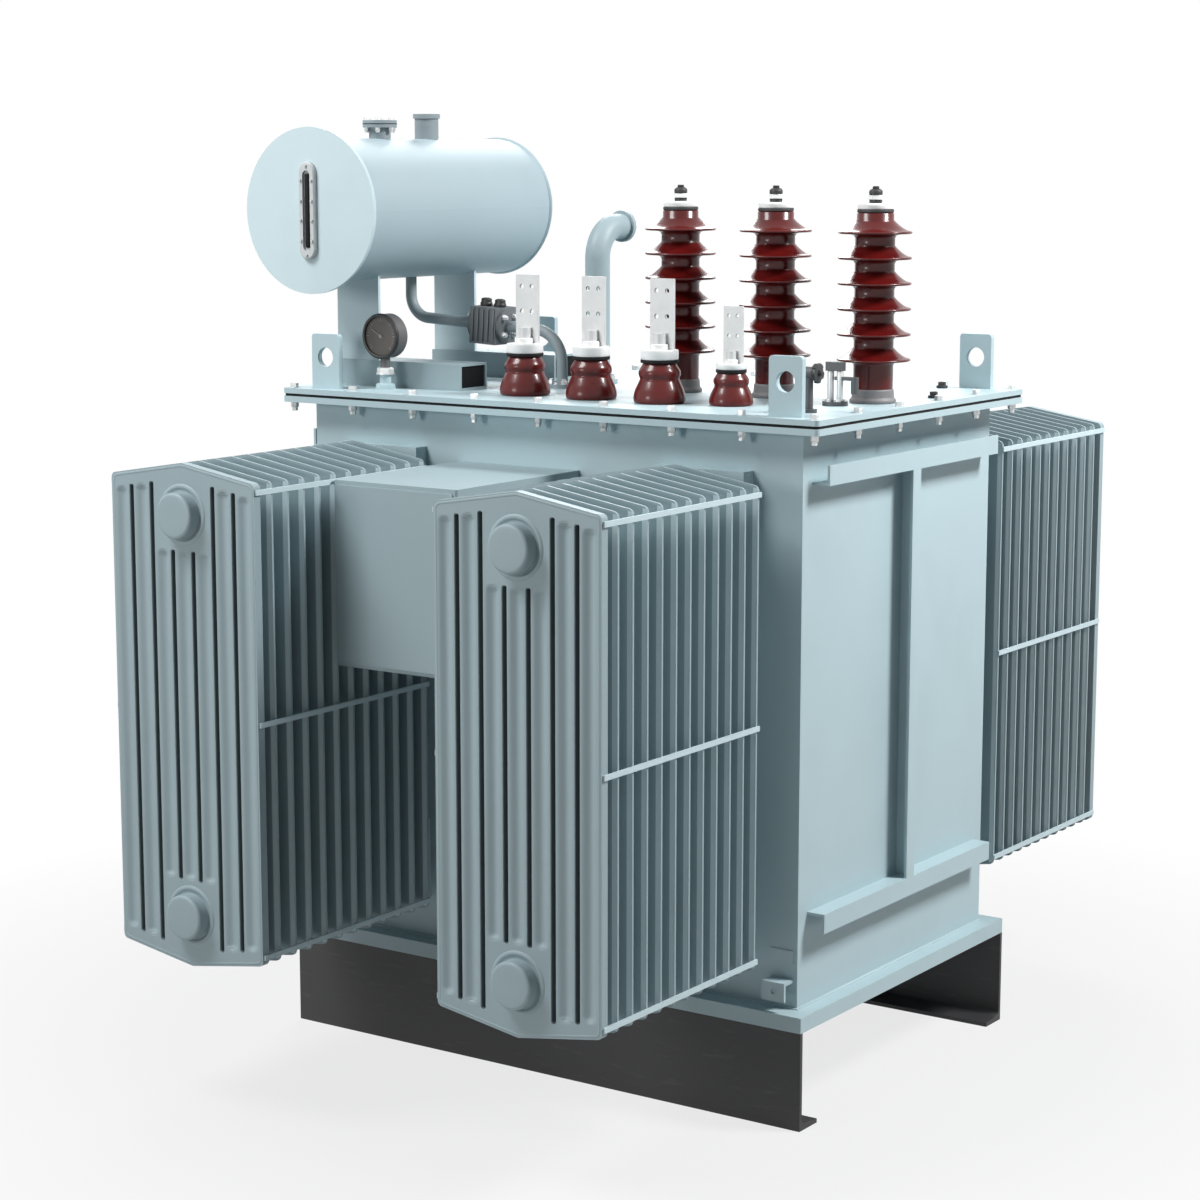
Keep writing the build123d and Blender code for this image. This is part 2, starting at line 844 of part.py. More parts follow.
def tap_changer_head():
    """The operating head: a round foot, two posts under a block, and a crank with an upright grip at its right."""
    head = post(tap_foot_radius, tap_foot_thickness, 0, 0, 0)
    for side in (-1, 1):
        head += post(tap_post_radius, tap_post_height, side * tap_post_spacing / 2, 0, tap_foot_thickness)
    block_z = tap_foot_thickness + tap_post_height
    half = tap_block_width / 2
    span_y = (-tap_block_depth / 2, tap_block_depth / 2)
    head += block((-half, half), span_y, (block_z, block_z + tap_block_height))
    crank_z = block_z - tap_crank_drop
    crank_y = (-tap_crank_width / 2, tap_crank_width / 2)
    head += block((0, tap_crank_length), crank_y, (crank_z - tap_crank_thickness, crank_z))
    head += post(tap_grip_radius, tap_grip_height, tap_crank_length, 0, crank_z - tap_grip_height)
    return Pos(cover_x - tap_end_distance, tap_row, cover_top) * head


def filling_valve():
    """The small oil valve behind the front right lug: a standing pipe, a body along X and a handwheel facing right."""
    valve = post(valve_foot_radius, valve_foot_thickness, 0, 0, 0) + post(valve_pipe_radius, valve_rise, 0, 0, 0)
    along = Pos(0, 0, valve_rise) * Rot(0, 90, 0)
    valve += along * Cylinder(valve_body_radius, valve_body_length)
    valve += along * post(valve_spindle_radius, valve_spindle_length, 0, 0, 0)
    valve += along * post(valve_wheel_radius, valve_wheel_thickness, 0, 0, valve_spindle_length)
    return Pos(cover_x - valve_end_distance, valve_row, cover_top) * valve


def earth_bracket():
    """The front earthing bracket: an angle with its drilled face hanging clear of the wall."""
    x = end_x - earth_end_distance
    half = earth_width / 2
    bottom = base_top + earth_rise
    top = bottom + earth_height
    face_y = -side_y - earth_depth
    shelf = block((x - half, x + half), (face_y, -side_y), (top - earth_thickness, top))
    face = block((x - half, x + half), (face_y, face_y + earth_thickness), (bottom, top))
    hole = Rot(90, 0, 0) * Cylinder(earth_hole_radius, 4 * earth_thickness)
    return shelf + (face - Pos(x, face_y, (bottom + top) / 2) * hole)


def earth_pad():
    """The thin plate welded to the front wall above the earthing bracket."""
    x = end_x - earth_pad_end_distance
    half = earth_pad_width / 2
    bottom = base_top + earth_rise + earth_height + earth_pad_gap
    return block((x - half, x + half), (-side_y - earth_pad_thickness, -side_y), (bottom, bottom + earth_pad_height))


def build():
    """All sub-parts by name, each a solid or a list of solids that stand apart."""
    opposite = Rot(0, 0, 180)
    nodes = {
        "skid_front_channel": skid_channel(),
        "skid_rear_channel": opposite * skid_channel(),
        "tank_base_plate": block((-base_x, base_x), (-base_y, base_y), (skid_height, base_top)),
        "tank_rim": tank_rim(),
        "cover_gasket": cover_gasket(),
        "tank_cover": tank_cover(),
        "right_end_stiffeners": end_angles(),
        "left_end_stiffeners": [opposite * angle for angle in end_angles()],
        "right_end_upright": end_upright(),
        "left_end_upright": opposite * end_upright(),
        "lifting_lugs": lifting_lugs(),
        "front_header_pads": header_pads(front_radiator_shift),
        "rear_header_pads": [opposite * pad for pad in header_pads(0)],
        "oil_level_gauge": oil_gauge(),
        "conservator_front_beam": support_beam(beam_front_row),
        "conservator_rear_beam": support_beam(beam_rear_row),
        "conservator_front_support": support_upright(beam_front_row),
        "conservator_rear_support": support_upright(beam_rear_row),
        "filler_neck": filler_neck(),
        "breather_neck": breather_neck(),
        "pressure_vent": vent_pipe(),
        "dial_pocket": dial_pocket(),
        "dial_thermometer": dial_thermometer(),
        "tap_changer_head": tap_changer_head(),
        "filling_valve": filling_valve(),
        "earthing_brackets": [earth_bracket(), opposite * earth_bracket()],
        "earthing_pads": [earth_pad(), opposite * earth_pad()],
    }
    nodes["terminal_box"], nodes["terminal_box_door"] = terminal_box()
    nodes.update(tank_walls())
    nodes.update(conservator())
    nodes.update(relay_pipes())
    nodes.update(bushings())
    one = radiator()
    bars = tie_bars()
    for side, x in (("left", -radiator_offset), ("right", radiator_offset)):
        nodes[f"front_{side}_radiator"] = at_front(x) * one
        nodes[f"rear_{side}_radiator"] = at_rear(x) * one
    nodes["front_tie_bars"] = [at_front(x) * bar for x in (-radiator_offset, radiator_offset) for bar in bars]
    nodes["rear_tie_bars"] = [at_rear(x) * bar for x in (-radiator_offset, radiator_offset) for bar in bars]
    return nodes


os.makedirs("parts", exist_ok=True)
for name, shape in build().items():
    pieces = shape if isinstance(shape, list) else [shape]
    solids = [Pos(tank_x, 0, 0) * solid for piece in pieces for solid in piece.solids()]
    export_step(solids[0] if len(solids) == 1 else Compound(solids), f"parts/{name}.step")
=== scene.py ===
"""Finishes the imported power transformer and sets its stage.

The frame gives every solid at its real size and place, in metres. The operators below paint those solids,
model the pressed radiators, glazed bushings, bolts and small fittings around them, and set the camera and
the light.
"""

import json
import math
from contextlib import contextmanager

import bmesh
import bpy
from bpy.props import FloatProperty, FloatVectorProperty, IntProperty, PointerProperty
from mathutils import Matrix, Vector


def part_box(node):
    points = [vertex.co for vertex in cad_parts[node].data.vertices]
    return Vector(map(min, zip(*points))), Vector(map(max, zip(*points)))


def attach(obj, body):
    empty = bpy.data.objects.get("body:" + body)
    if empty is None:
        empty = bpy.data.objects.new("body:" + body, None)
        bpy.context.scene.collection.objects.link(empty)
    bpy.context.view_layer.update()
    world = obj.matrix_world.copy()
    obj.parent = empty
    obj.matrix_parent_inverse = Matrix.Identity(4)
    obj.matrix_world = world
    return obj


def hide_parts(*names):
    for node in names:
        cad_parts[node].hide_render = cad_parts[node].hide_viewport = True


bl_info = {
    "name": "Power Transformer Finish",
    "version": (1, 0, 0),
    "blender": (4, 5, 0),
    "location": "View3D > Sidebar > Transformer",
    "description": "Paint, radiators, bushings, bolts and fittings of an oil-filled power transformer",
    "category": "Object",
}

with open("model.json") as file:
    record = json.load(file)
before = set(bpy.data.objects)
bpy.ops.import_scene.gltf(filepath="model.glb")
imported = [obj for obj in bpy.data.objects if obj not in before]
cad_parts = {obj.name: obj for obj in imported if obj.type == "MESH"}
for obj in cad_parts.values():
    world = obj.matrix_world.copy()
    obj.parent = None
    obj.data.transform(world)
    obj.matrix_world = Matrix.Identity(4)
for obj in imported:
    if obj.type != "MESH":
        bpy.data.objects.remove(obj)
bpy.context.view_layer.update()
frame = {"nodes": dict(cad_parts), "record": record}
nodes = frame["nodes"]


class TransformerColours(bpy.types.PropertyGroup):
    """Finishes of the transformer."""

    tank: FloatVectorProperty(
        name="Tank", description="Pale blue-grey gloss paint", subtype="COLOR", default=(0.44, 0.57, 0.61)
    )
    drum: FloatVectorProperty(
        name="Conservator", description="Paint of the drum", subtype="COLOR", default=(0.38, 0.48, 0.525)
    )
    # Paler than the tank's paint: painted light on the drum's front plate, its supports, the tie bars and the
    # fins' side bands
    plate: FloatVectorProperty(
        name="Plate and bars", description="The palest paint", subtype="COLOR", default=(0.56, 0.69, 0.73)
    )
    neck: FloatVectorProperty(
        name="Necks", description="Grey paint of the necks", subtype="COLOR", default=(0.25, 0.30, 0.32)
    )
    # The tank's blue-grey darkened: painted shade on the radiators, and on the beams and vent that share it
    radiator: FloatVectorProperty(
        name="Radiators", description="Mid blue-grey paint", subtype="COLOR", default=(0.305, 0.395, 0.425)
    )
    # Darker than the radiator paint: painted shade in the gaps between the inner elements
    fin: FloatVectorProperty(
        name="Fins", description="Paint of the inner elements", subtype="COLOR", default=(0.265, 0.365, 0.40)
    )
    skid: FloatVectorProperty(
        name="Skid", description="Charcoal paint", subtype="COLOR", default=(0.036, 0.036, 0.038)
    )
    high_glaze: FloatVectorProperty(
        name="High bushings", description="Oxblood glaze", subtype="COLOR", default=(0.085, 0.004, 0.0035)
    )
    low_glaze: FloatVectorProperty(
        name="Low bushings", description="Red-brown glaze", subtype="COLOR", default=(0.095, 0.006, 0.005)
    )


class TransformerRadiators(bpy.types.PropertyGroup):
    """Pressed radiator elements with their headers."""

    fin_count: IntProperty(name="Elements", description="Elements in each radiator", default=12, min=2)
    fin_pitch: FloatProperty(
        name="Pitch", description="From one element to the next", default=0.066, unit="LENGTH"
    )
    flute_count: IntProperty(name="Flutes", description="Flutes across an element", default=7, min=2)
    gable: FloatProperty(name="Gable", description="Rise of the gabled ends", default=0.042, unit="LENGTH")
    corner: FloatProperty(name="Corner", description="Radius of the corners", default=0.016, unit="LENGTH")
    seam: FloatProperty(name="Seam", description="Thickness of a welded edge", default=0.0068, unit="LENGTH")
    flute_depth: FloatProperty(
        name="Flute", description="Swell of a flute on each side", default=0.0044, unit="LENGTH"
    )
    # Sets the lighter strip below a gable and, twice as wide, the pale side band: painted highlight on the
    # inner elements' edges
    edge: FloatProperty(
        name="Edge", description="Depth of the paler paint at a gable", default=0.006, unit="LENGTH"
    )
    panel_depth: FloatProperty(
        name="Panel", description="Thickness of the outer panel", default=0.026, unit="LENGTH"
    )
    groove_width: FloatProperty(
        name="Groove width", description="Width of the seams between flutes", default=0.016, unit="LENGTH"
    )
    groove_depth: FloatProperty(
        name="Groove depth", description="Depth of the seams between flutes", default=0.023, unit="LENGTH"
    )
    valley_width: FloatProperty(
        name="Valley width", description="Width of the hollow along a flute", default=0.046, unit="LENGTH"
    )
    valley_depth: FloatProperty(
        name="Valley depth", description="Depth of the hollow along a flute", default=0.0095, unit="LENGTH"
    )
    groove_margin: FloatProperty(
        name="Groove margin", description="From a groove's end to the edge", default=0.038, unit="LENGTH"
    )
    cap_margin: FloatProperty(
        name="Cap margin",
        description="From a groove's end to the middle of the header",
        default=0.097,
        unit="LENGTH",
    )
    rim: FloatProperty(
        name="Rim", description="Radius of the panel's rolled edge", default=0.0075, unit="LENGTH"
    )
    cap_radius: FloatProperty(
        name="Cap radius", description="Radius of a header cap", default=0.064, unit="LENGTH"
    )
    cap_height: FloatProperty(
        name="Cap height", description="Height of a header cap", default=0.038, unit="LENGTH"
    )
    header_radius: FloatProperty(
        name="Header", description="Radius of a header pipe", default=0.036, unit="LENGTH"
    )
    pad_height: FloatProperty(
        name="Pad", description="Height of a header pad on the tank", default=0.240, unit="LENGTH"
    )


class TransformerBushings(bpy.types.PropertyGroup):
    """Sheds of the high-voltage porcelains."""

    shed_count: IntProperty(name="Sheds", description="Sheds of a porcelain", default=6, min=1)
    shed_pitch: FloatProperty(name="Pitch", description="From shed to shed", default=0.0712, unit="LENGTH")
    first_shed: FloatProperty(
        name="First shed", description="Height of the lowest shed", default=0.078, unit="LENGTH"
    )
    shed_rim: FloatProperty(name="Rim", description="Thickness of a shed's rim", default=0.007, unit="LENGTH")
    shed_drop: FloatProperty(name="Drop", description="Fall of a shed's top", default=0.031, unit="LENGTH")
    core: FloatProperty(name="Core", description="Radius between the sheds", default=0.056, unit="LENGTH")
    collar: FloatProperty(name="Collar", description="Radius above the sheds", default=0.052, unit="LENGTH")


class TransformerBolts(bpy.types.PropertyGroup):
    """Bolts round the cover."""

    long_side: IntProperty(name="Long side", description="Bolts along each long side", default=9, min=2)
    short_side: IntProperty(name="Short side", description="Bolts along each short side", default=6, min=2)
    inset: FloatProperty(name="Inset", description="From the cover's edge", default=0.026, unit="LENGTH")
    across: FloatProperty(name="Head", description="Width across the flats", default=0.021, unit="LENGTH")


class TransformerStage(bpy.types.PropertyGroup):
    """Camera, lamps and sky."""

    lens: FloatProperty(
        name="Lens", description="Focal length on a 36 mm sensor", default=83.2, unit="CAMERA"
    )
    camera_place: FloatVectorProperty(
        name="Camera place",
        description="Where the camera stands",
        subtype="TRANSLATION",
        default=(4.6571, -6.9458, 2.6612),
    )
    azimuth: FloatProperty(
        name="Azimuth", description="Turn about the upright", subtype="ANGLE", default=math.radians(34.56)
    )
    elevation: FloatProperty(
        name="Elevation", description="How far it looks down", subtype="ANGLE", default=math.radians(9.14)
    )
    right_power: FloatProperty(
        name="Right lamp", description="Power of the lamp at the right", default=415.0, unit="POWER"
    )
    back_power: FloatProperty(
        name="Back lamp", description="Power of the lamp behind", default=150.0, unit="POWER"
    )
    front_power: FloatProperty(
        name="Front lamp", description="Power of the high lamp in front", default=310.0, unit="POWER"
    )
    fill_power: FloatProperty(
        name="Fill lamp", description="Power of the low lamp in front", default=85.0, unit="POWER"
    )
    sky: FloatProperty(name="Sky", description="Strength of the even light all round", default=0.06)


class Wire:
    """A node's output that Python operators act on. Each operator adds its Math node to the same tree."""

    def __init__(self, tree, socket=None):
        self.tree = tree
        self.socket = socket

    def node(self, kind, settings=None, inputs=None, output=0):
        """Adds a node, applies its settings, sets or links its inputs and gives one of its outputs."""
        made = self.tree.nodes.new(kind)
        for key, value in (settings or {}).items():
            if key == "stops":
                self.place_stops(made.color_ramp.elements, value)
            else:
                setattr(made, key, value)
        for key, value in (inputs or {}).items():
            if isinstance(value, Wire):
                self.tree.links.new(value.socket, made.inputs[key])
            else:
                made.inputs[key].default_value = value
        return Wire(self.tree, made.outputs[output])

    @staticmethod
    def place_stops(elements, stops):
        while len(elements) < len(stops):
            elements.new(1.0)
        for element, (position, shade) in zip(elements, stops):
            element.position = position
            element.color = (shade, shade, shade, 1.0)

    def maths(self, operation, first, second):
        return self.node("ShaderNodeMath", {"operation": operation}, {0: first, 1: second})

    def __add__(self, other):
        return self.maths("ADD", self, other)

    def __radd__(self, other):
        return self.maths("ADD", other, self)

    def __sub__(self, other):
        return self.maths("SUBTRACT", self, other)

    def __rsub__(self, other):
        return self.maths("SUBTRACT", other, self)

    def __mul__(self, other):
        return self.maths("MULTIPLY", self, other)

    def __rmul__(self, other):
        return self.maths("MULTIPLY", other, self)


class Finish:
    """A material's node tree with the few patterns that the finishes share."""

    def __init__(self, name, **constants):
        self.material = bpy.data.materials.new(name)
        self.material.use_nodes = True
        self.tree = self.material.node_tree
        self.shader = self.tree.nodes["Principled BSDF"]
        for key, value in constants.items():
            self.shader.inputs[key.replace("_", " ")].default_value = value
        self.start = Wire(self.tree)
        self.place = self.start.node("ShaderNodeTexCoord", output="Object")

    def noise(self, scale, detail=3.0, stretch=(1.0, 1.0, 1.0)):
        """Noise between 0 and 1, with its grain stretched along the axes by the inverse of stretch."""
        mapped = self.start.node("ShaderNodeMapping", inputs={"Vector": self.place, "Scale": stretch})
        sockets = {"Vector": mapped, "Scale": scale, "Detail": detail}
        return self.start.node("ShaderNodeTexNoise", inputs=sockets, output="Fac")

    def ramp(self, value, *stops):
        return self.start.node("ShaderNodeValToRGB", {"stops": stops}, {"Fac": value})

    def blend(self, factor, first, second):
        """Mixes two colours, each a wire or three numbers."""
        pair = [c if isinstance(c, Wire) else (*c, 1.0) for c in (first, second)]
        sockets = {"Factor": factor, 6: pair[0], 7: pair[1]}
        return self.start.node("ShaderNodeMix", {"data_type": "RGBA"}, sockets, output=2)

    def bump(self, height, strength, distance):
        sockets = {"Height": height, "Strength": strength, "Distance": distance}
        return self.start.node("ShaderNodeBump", inputs=sockets, output="Normal")

    def feed(self, **sockets):
        """Links wires to the shader's sockets."""
        for key, wire in sockets.items():
            self.tree.links.new(wire.socket, self.shader.inputs[key.replace("_", " ")])
        return self.material


def tinted(colour, factor):
    return tuple(min(1.0, channel * factor) for channel in colour)


def painted_steel(name, colour, gloss=0.42, grime=0.16):
    """Sprayed paint on plate: cloudy tone, faint patches of grime, fine orange peel."""
    finish = Finish(name, Specular_IOR_Level=0.5)
    clouds = finish.noise(1.6, 4.0)
    patches = finish.noise(4.0, 5.0, (1.0, 1.0, 0.8))
    specks = finish.noise(260.0, 2.0)
    tone = finish.blend(clouds, tinted(colour, 0.93), tinted(colour, 1.07))
    dull = finish.ramp(patches, (0.52, 0.0), (0.80, 1.0))
    tone = finish.blend(dull * grime, tone, tinted(colour, 0.66))
    peel = finish.noise(420.0, 1.0)
    return finish.feed(
        Base_Color=tone,
        Roughness=gloss + 0.12 * clouds + 0.06 * specks,
        Normal=finish.bump(peel, 0.10, 0.0006),
    )


def charcoal_paint(name, colour):
    """Dull skid paint with scuffs and pale dust."""
    finish = Finish(name)
    clouds = finish.noise(3.0, 5.0)
    scuffs = finish.ramp(finish.noise(30.0, 6.0, (0.4, 0.4, 2.5)), (0.60, 0.0), (0.74, 1.0))
    tone = finish.blend(clouds, tinted(colour, 0.7), tinted(colour, 1.35))
    tone = finish.blend(scuffs * 0.25, tone, (0.12, 0.12, 0.12))
    return finish.feed(
        Base_Color=tone,
        Roughness=0.50 + 0.2 * clouds,
        Normal=finish.bump(finish.noise(300.0, 2.0), 0.2, 0.0006),
    )


def black_rubber(name):
    """Compressed seal between the rim and the cover."""
    finish = Finish(name, Specular_IOR_Level=0.12)
    grain = finish.noise(180.0, 3.0)
    return finish.feed(
        Base_Color=finish.blend(grain, (0.008, 0.008, 0.009), (0.03, 0.03, 0.032)),
        Roughness=0.62 + 0.2 * grain,
        Normal=finish.bump(grain, 0.3, 0.0008),
    )


def glaze(name, colour):
    """Fired glaze over porcelain: pooled tone, a clear coat and the faint ripple of the firing."""
    finish = Finish(name, Coat_Roughness=0.10, Specular_IOR_Level=0.28)
    pools = finish.noise(9.0, 3.0)
    flecks = finish.ramp(finish.noise(140.0, 2.0), (0.62, 0.0), (0.78, 1.0))
    tone = finish.blend(pools, tinted(colour, 0.72), tinted(colour, 1.3))
    tone = finish.blend(flecks * 0.35, tone, tinted(colour, 0.4))
    return finish.feed(
        Base_Color=tone,
        Roughness=0.24 + 0.10 * pools,
        Coat_Weight=0.18 + 0.16 * pools,
        Normal=finish.bump(finish.noise(28.0, 1.0), 0.06, 0.002),
    )


def plain_metal(name, colour, rough, metallic, shine=0.5):
    """Tinned, cast or coated metal with a soft grain."""
    finish = Finish(name, Metallic=metallic, Specular_IOR_Level=shine)
    clouds = finish.noise(24.0, 4.0)
    grain = finish.noise(320.0, 2.0, (1.0, 1.0, 0.3))
    return finish.feed(
        Base_Color=finish.blend(clouds, tinted(colour, 0.82), tinted(colour, 1.08)),
        Roughness=rough + 0.14 * clouds + 0.06 * grain,
        Normal=finish.bump(grain, 0.12, 0.0004),
    )


# Colour, roughness, metallic share and, where it isn't the usual one, shine of the small pieces' finishes
SMALL_FINISHES = {
    "tinned metal": ((0.66, 0.67, 0.67), 0.42, 0.25),
    "cast metal": ((0.10, 0.105, 0.11), 0.45, 0.4),
    "relay casting": ((0.17, 0.185, 0.195), 0.42, 0.2),
    "dial case": ((0.12, 0.12, 0.122), 0.40, 0.1),
    "gauge frame": ((0.55, 0.58, 0.59), 0.40, 0.1),
    "white cap": ((0.86, 0.87, 0.87), 0.40, 0.0),
    # Near-black plugs in the beams' open ends: painted shade
    "tube lining": ((0.012, 0.013, 0.014), 0.7, 0.0, 0.1),
    "flange casting": ((0.20, 0.195, 0.20), 0.45, 0.1),
    "zinc plate": ((0.70, 0.71, 0.71), 0.36, 0.75),
    "dark washer": ((0.045, 0.045, 0.047), 0.45, 0.4),
    "black plastic": ((0.02, 0.02, 0.021), 0.30, 0.0),
    "dial face": ((0.095, 0.083, 0.075), 0.35, 0.0),
    "pale ink": ((0.30, 0.29, 0.27), 0.5, 0.0),
    "gauge glass": ((0.008, 0.008, 0.008), 0.40, 0.0, 0.15),
}

# Finish of each of the record's material slots
SLOT_FINISHES = {
    "tank_paint": "tank paint",
    "radiator_paint": "radiator paint",
    "skid_paint": "skid paint",
    "gasket": "seal rubber",
    "hv_porcelain": "oxblood glaze",
    "lv_porcelain": "red-brown glaze",
    "terminal_metal": "tinned metal",
    "cast_metal": "cast metal",
    "relay_metal": "relay casting",
    "dial_black": "dial case",
    "gauge_metal": "gauge frame",
}

# Solids whose paint differs from their slot's; the pale paint on the plate, supports and tie bars is painted
# light, and the box paint is painted shade
SPECIAL_FINISHES = {
    "conservator_front_plate": "pale paint",
    "conservator_front_support": "pale paint",
    "conservator_rear_support": "pale paint",
    "front_tie_bars": "pale paint",
    "rear_tie_bars": "pale paint",
    "conservator_shell": "drum paint",
    "conservator_rear_plate": "drum paint",
    "conservator_front_beam": "radiator paint",
    "conservator_rear_beam": "radiator paint",
    "pressure_vent": "radiator paint",
    "filler_neck": "neck paint",
    "breather_neck": "neck paint",
    "relay_pipe_upper": "neck paint",
    "relay_pipe_lower": "neck paint",
    "terminal_box": "box paint",
    "terminal_box_door": "box paint",
}


class TRANSFORMER_OT_paint(bpy.types.Operator):
    """Gives every solid of the frame its finish"""

    bl_idname = "transformer.paint"
    bl_label = "Paint the solids"

    # The box's paint is the tank's darkened by this share: painted shade
    box_shade = 0.72
    seam_shade = 0.32

    def execute(self, context):
        shades = context.scene.transformer_colours
        paints = {
            "tank paint": shades.tank,
            "box paint": tinted(shades.tank, self.box_shade),
            "pale paint": shades.plate,
            "drum paint": shades.drum,
            "neck paint": shades.neck,
            "radiator paint": shades.radiator,
            "seam shade": tinted(shades.radiator, self.seam_shade),
            # The inner elements' paint is darkened: painted shade between them
            "fin paint": shades.fin,
        }
        for name, colour in paints.items():
            painted_steel(name, colour)
        charcoal_paint("skid paint", shades.skid)
        black_rubber("seal rubber")
        glaze("oxblood glaze", shades.high_glaze)
        glaze("red-brown glaze", shades.low_glaze)
        for name, look in SMALL_FINISHES.items():
            plain_metal(name, *look)
        for part in frame["record"]["subparts"]:
            usual = SLOT_FINISHES[part["material_slot"]]
            dressed(nodes[part["node"]], SPECIAL_FINISHES.get(part["node"], usual))
        return {"FINISHED"}


def only(*pieces):
    """Selects these pieces and nothing else, the first as the active one."""
    bpy.ops.object.select_all(action="DESELECT")
    for piece in pieces:
        piece.select_set(True)
    bpy.context.view_layer.objects.active = pieces[0]


def begin(add, **settings):
    """Adds an object with nothing else selected."""
    bpy.ops.object.select_all(action="DESELECT")
    add(**settings)
    return bpy.context.object


@contextmanager
def editing(piece, elements="VERT"):
    """Edit mode on one piece, with nothing selected in it."""
    only(piece)
    bpy.ops.object.mode_set(mode="EDIT")
    bpy.ops.mesh.select_mode(type=elements)
    bpy.ops.mesh.select_all(action="DESELECT")
    yield
    bpy.ops.object.mode_set(mode="OBJECT")


def choose(piece, elements, test):
    """In edit mode, selects the vertices, edges or faces whose middle and normal pass the test."""
    bpy.ops.mesh.select_all(action="DESELECT")
    mesh = bmesh.from_edit_mesh(piece.data)
    for element in getattr(mesh, elements):
        if elements == "verts":
            middle, normal = element.co, element.normal
        elif elements == "edges":
            middle, normal = (element.verts[0].co + element.verts[1].co) / 2, None
        else:
            middle, normal = element.calc_center_median(), element.normal
        if test(middle, normal):
            element.select_set(True)
    mesh.select_flush_mode()
    bmesh.update_edit_mesh(piece.data)


def placed(piece, place):
    """Moves a piece and puts its new place into its mesh."""
    piece.matrix_world = place @ piece.matrix_world
    only(piece)
    bpy.ops.object.transform_apply(location=True, rotation=True, scale=True)
    return piece


def copied(piece, place):
    """A copy with its own mesh at another place."""
    only(piece)
    bpy.ops.object.duplicate()
    return placed(bpy.context.object, place)


def joined(*pieces):
    only(*pieces)
    if len(pieces) > 1:
        bpy.ops.object.join()
    return bpy.context.object


def spread(piece, places):
    """Copies of a piece at each place, joined, instead of the first one."""
    twins = [copied(piece, place) for place in places]
    bpy.data.objects.remove(piece)
    return joined(*twins)


def dressed(piece, finish):
    """Gives a whole piece one finish."""
    piece.data.materials.clear()
    piece.data.materials.append(bpy.data.materials[finish])
    return piece


def accented(piece, finish, test):
    """Gives the faces that pass the test a further finish."""
    piece.data.materials.append(bpy.data.materials[finish])
    with editing(piece, "FACE"):
        choose(piece, "faces", test)
        piece.active_material_index = len(piece.data.materials) - 1
        bpy.ops.object.material_slot_assign()
    return piece


# Angles in degrees up to which the shading runs smoothly over an edge
CRISP = 38
PRESSED = 50
ROUND = 60
# Points nearer to each other than this are merged
MERGE_GAP = 0.00001


def closed():
    """In edit mode, merges doubled points and turns all faces outwards."""
    bpy.ops.mesh.select_all(action="SELECT")
    bpy.ops.mesh.remove_doubles(threshold=MERGE_GAP)
    bpy.ops.mesh.normals_make_consistent(inside=False)


def settle(piece, name, slot, *stands_for, angle=CRISP):
    """Names a finished piece, smooths its shading and ties it to the frame."""
    piece.name = name
    piece.data.name = name
    with editing(piece):
        closed()
    bpy.ops.object.shade_smooth_by_angle(angle=math.radians(angle))
    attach(piece, "root")
    if stands_for:
        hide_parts(*stands_for)
    return piece


def shift(x=0.0, y=0.0, z=0.0):
    return Matrix.Translation((x, y, z))


def turn(degrees, axis):
    return Matrix.Rotation(math.radians(degrees), 4, axis)


TO_FRONT = turn(90, "X")
TO_REAR = turn(-90, "X")
TO_RIGHT = turn(90, "Y")
TO_LEFT = turn(-90, "Y")
OVER = turn(180, "X")


def ring_of(piece, place, count, radius, start=0.0):
    """Copies of a piece at an even spacing round the upright axis of a place, instead of the first one."""
    angles = [start + 360 * i / count for i in range(count)]
    return spread(piece, [place @ turn(angle, "Z") @ shift(radius) for angle in angles])


def softened(profile, radius, steps=3):
    """A profile whose inner corners are rounded off by short curves."""
    points = [Vector(point) for point in profile]
    curve = [points[0]]
    for before, corner, after in zip(points, points[1:], points[2:]):
        ends = []
        for side in (before, after):
            edge = side - corner
            ends.append(corner + edge.normalized() * min(radius, edge.length / 2))
        for i in range(steps + 1):
            share = i / steps
            curve.append(ends[0].lerp(corner, share).lerp(corner.lerp(ends[1], share), share))
    curve.append(points[-1])
    return curve


def turned(profile, steps=48):
    """A round piece about Z: one point is drawn out along the profile of radius and height, then spun."""
    piece = begin(bpy.ops.mesh.primitive_plane_add, size=0.01)
    spots = [Vector((point[0], 0.0, point[1])) for point in profile]
    with editing(piece):
        bpy.ops.mesh.select_all(action="SELECT")
        bpy.ops.mesh.merge(type="CENTER")
        bpy.ops.transform.translate(value=spots[0])
        for here, there in zip(spots, spots[1:]):
            bpy.ops.mesh.extrude_vertices_move(TRANSFORM_OT_translate={"value": there - here})
        bpy.ops.mesh.select_all(action="SELECT")
        bpy.ops.mesh.spin(steps=steps, angle=2 * math.pi, center=(0, 0, 0), axis=(0, 0, 1))
        closed()
    return piece


def disc(radius, height, edge, steps=32):
    """A round plate with softened edges, standing at the origin."""
    return turned(softened([(0, 0), (radius, 0), (radius, height), (0, height)], edge), steps)


def bead(radius, thickness, steps=64):
    """A weld bead round Z, flattened on its outer side."""
    ring = begin(
        bpy.ops.mesh.primitive_torus_add,
        major_radius=radius,
        minor_radius=thickness,
        major_segments=steps,
        minor_segments=8,
    )
    flat = radius + 0.7 * thickness
    with editing(ring):
        choose(ring, "verts", lambda middle, normal: math.hypot(middle.x, middle.y) > flat)
        bpy.ops.transform.resize(value=(1.0, 1.0, 0.6))
    return ring


def tubed(sheet, radius):
    """The outline of a flat sheet alone, made a tube."""
    with editing(sheet, "FACE"):
        bpy.ops.mesh.select_all(action="SELECT")
        bpy.ops.mesh.delete(type="ONLY_FACE")
    only(sheet)
    bpy.ops.object.convert(target="CURVE")
    line = bpy.context.object.data
    line.bevel_depth = radius
    line.bevel_resolution = 2
    bpy.ops.object.convert(target="MESH")
    return bpy.context.object


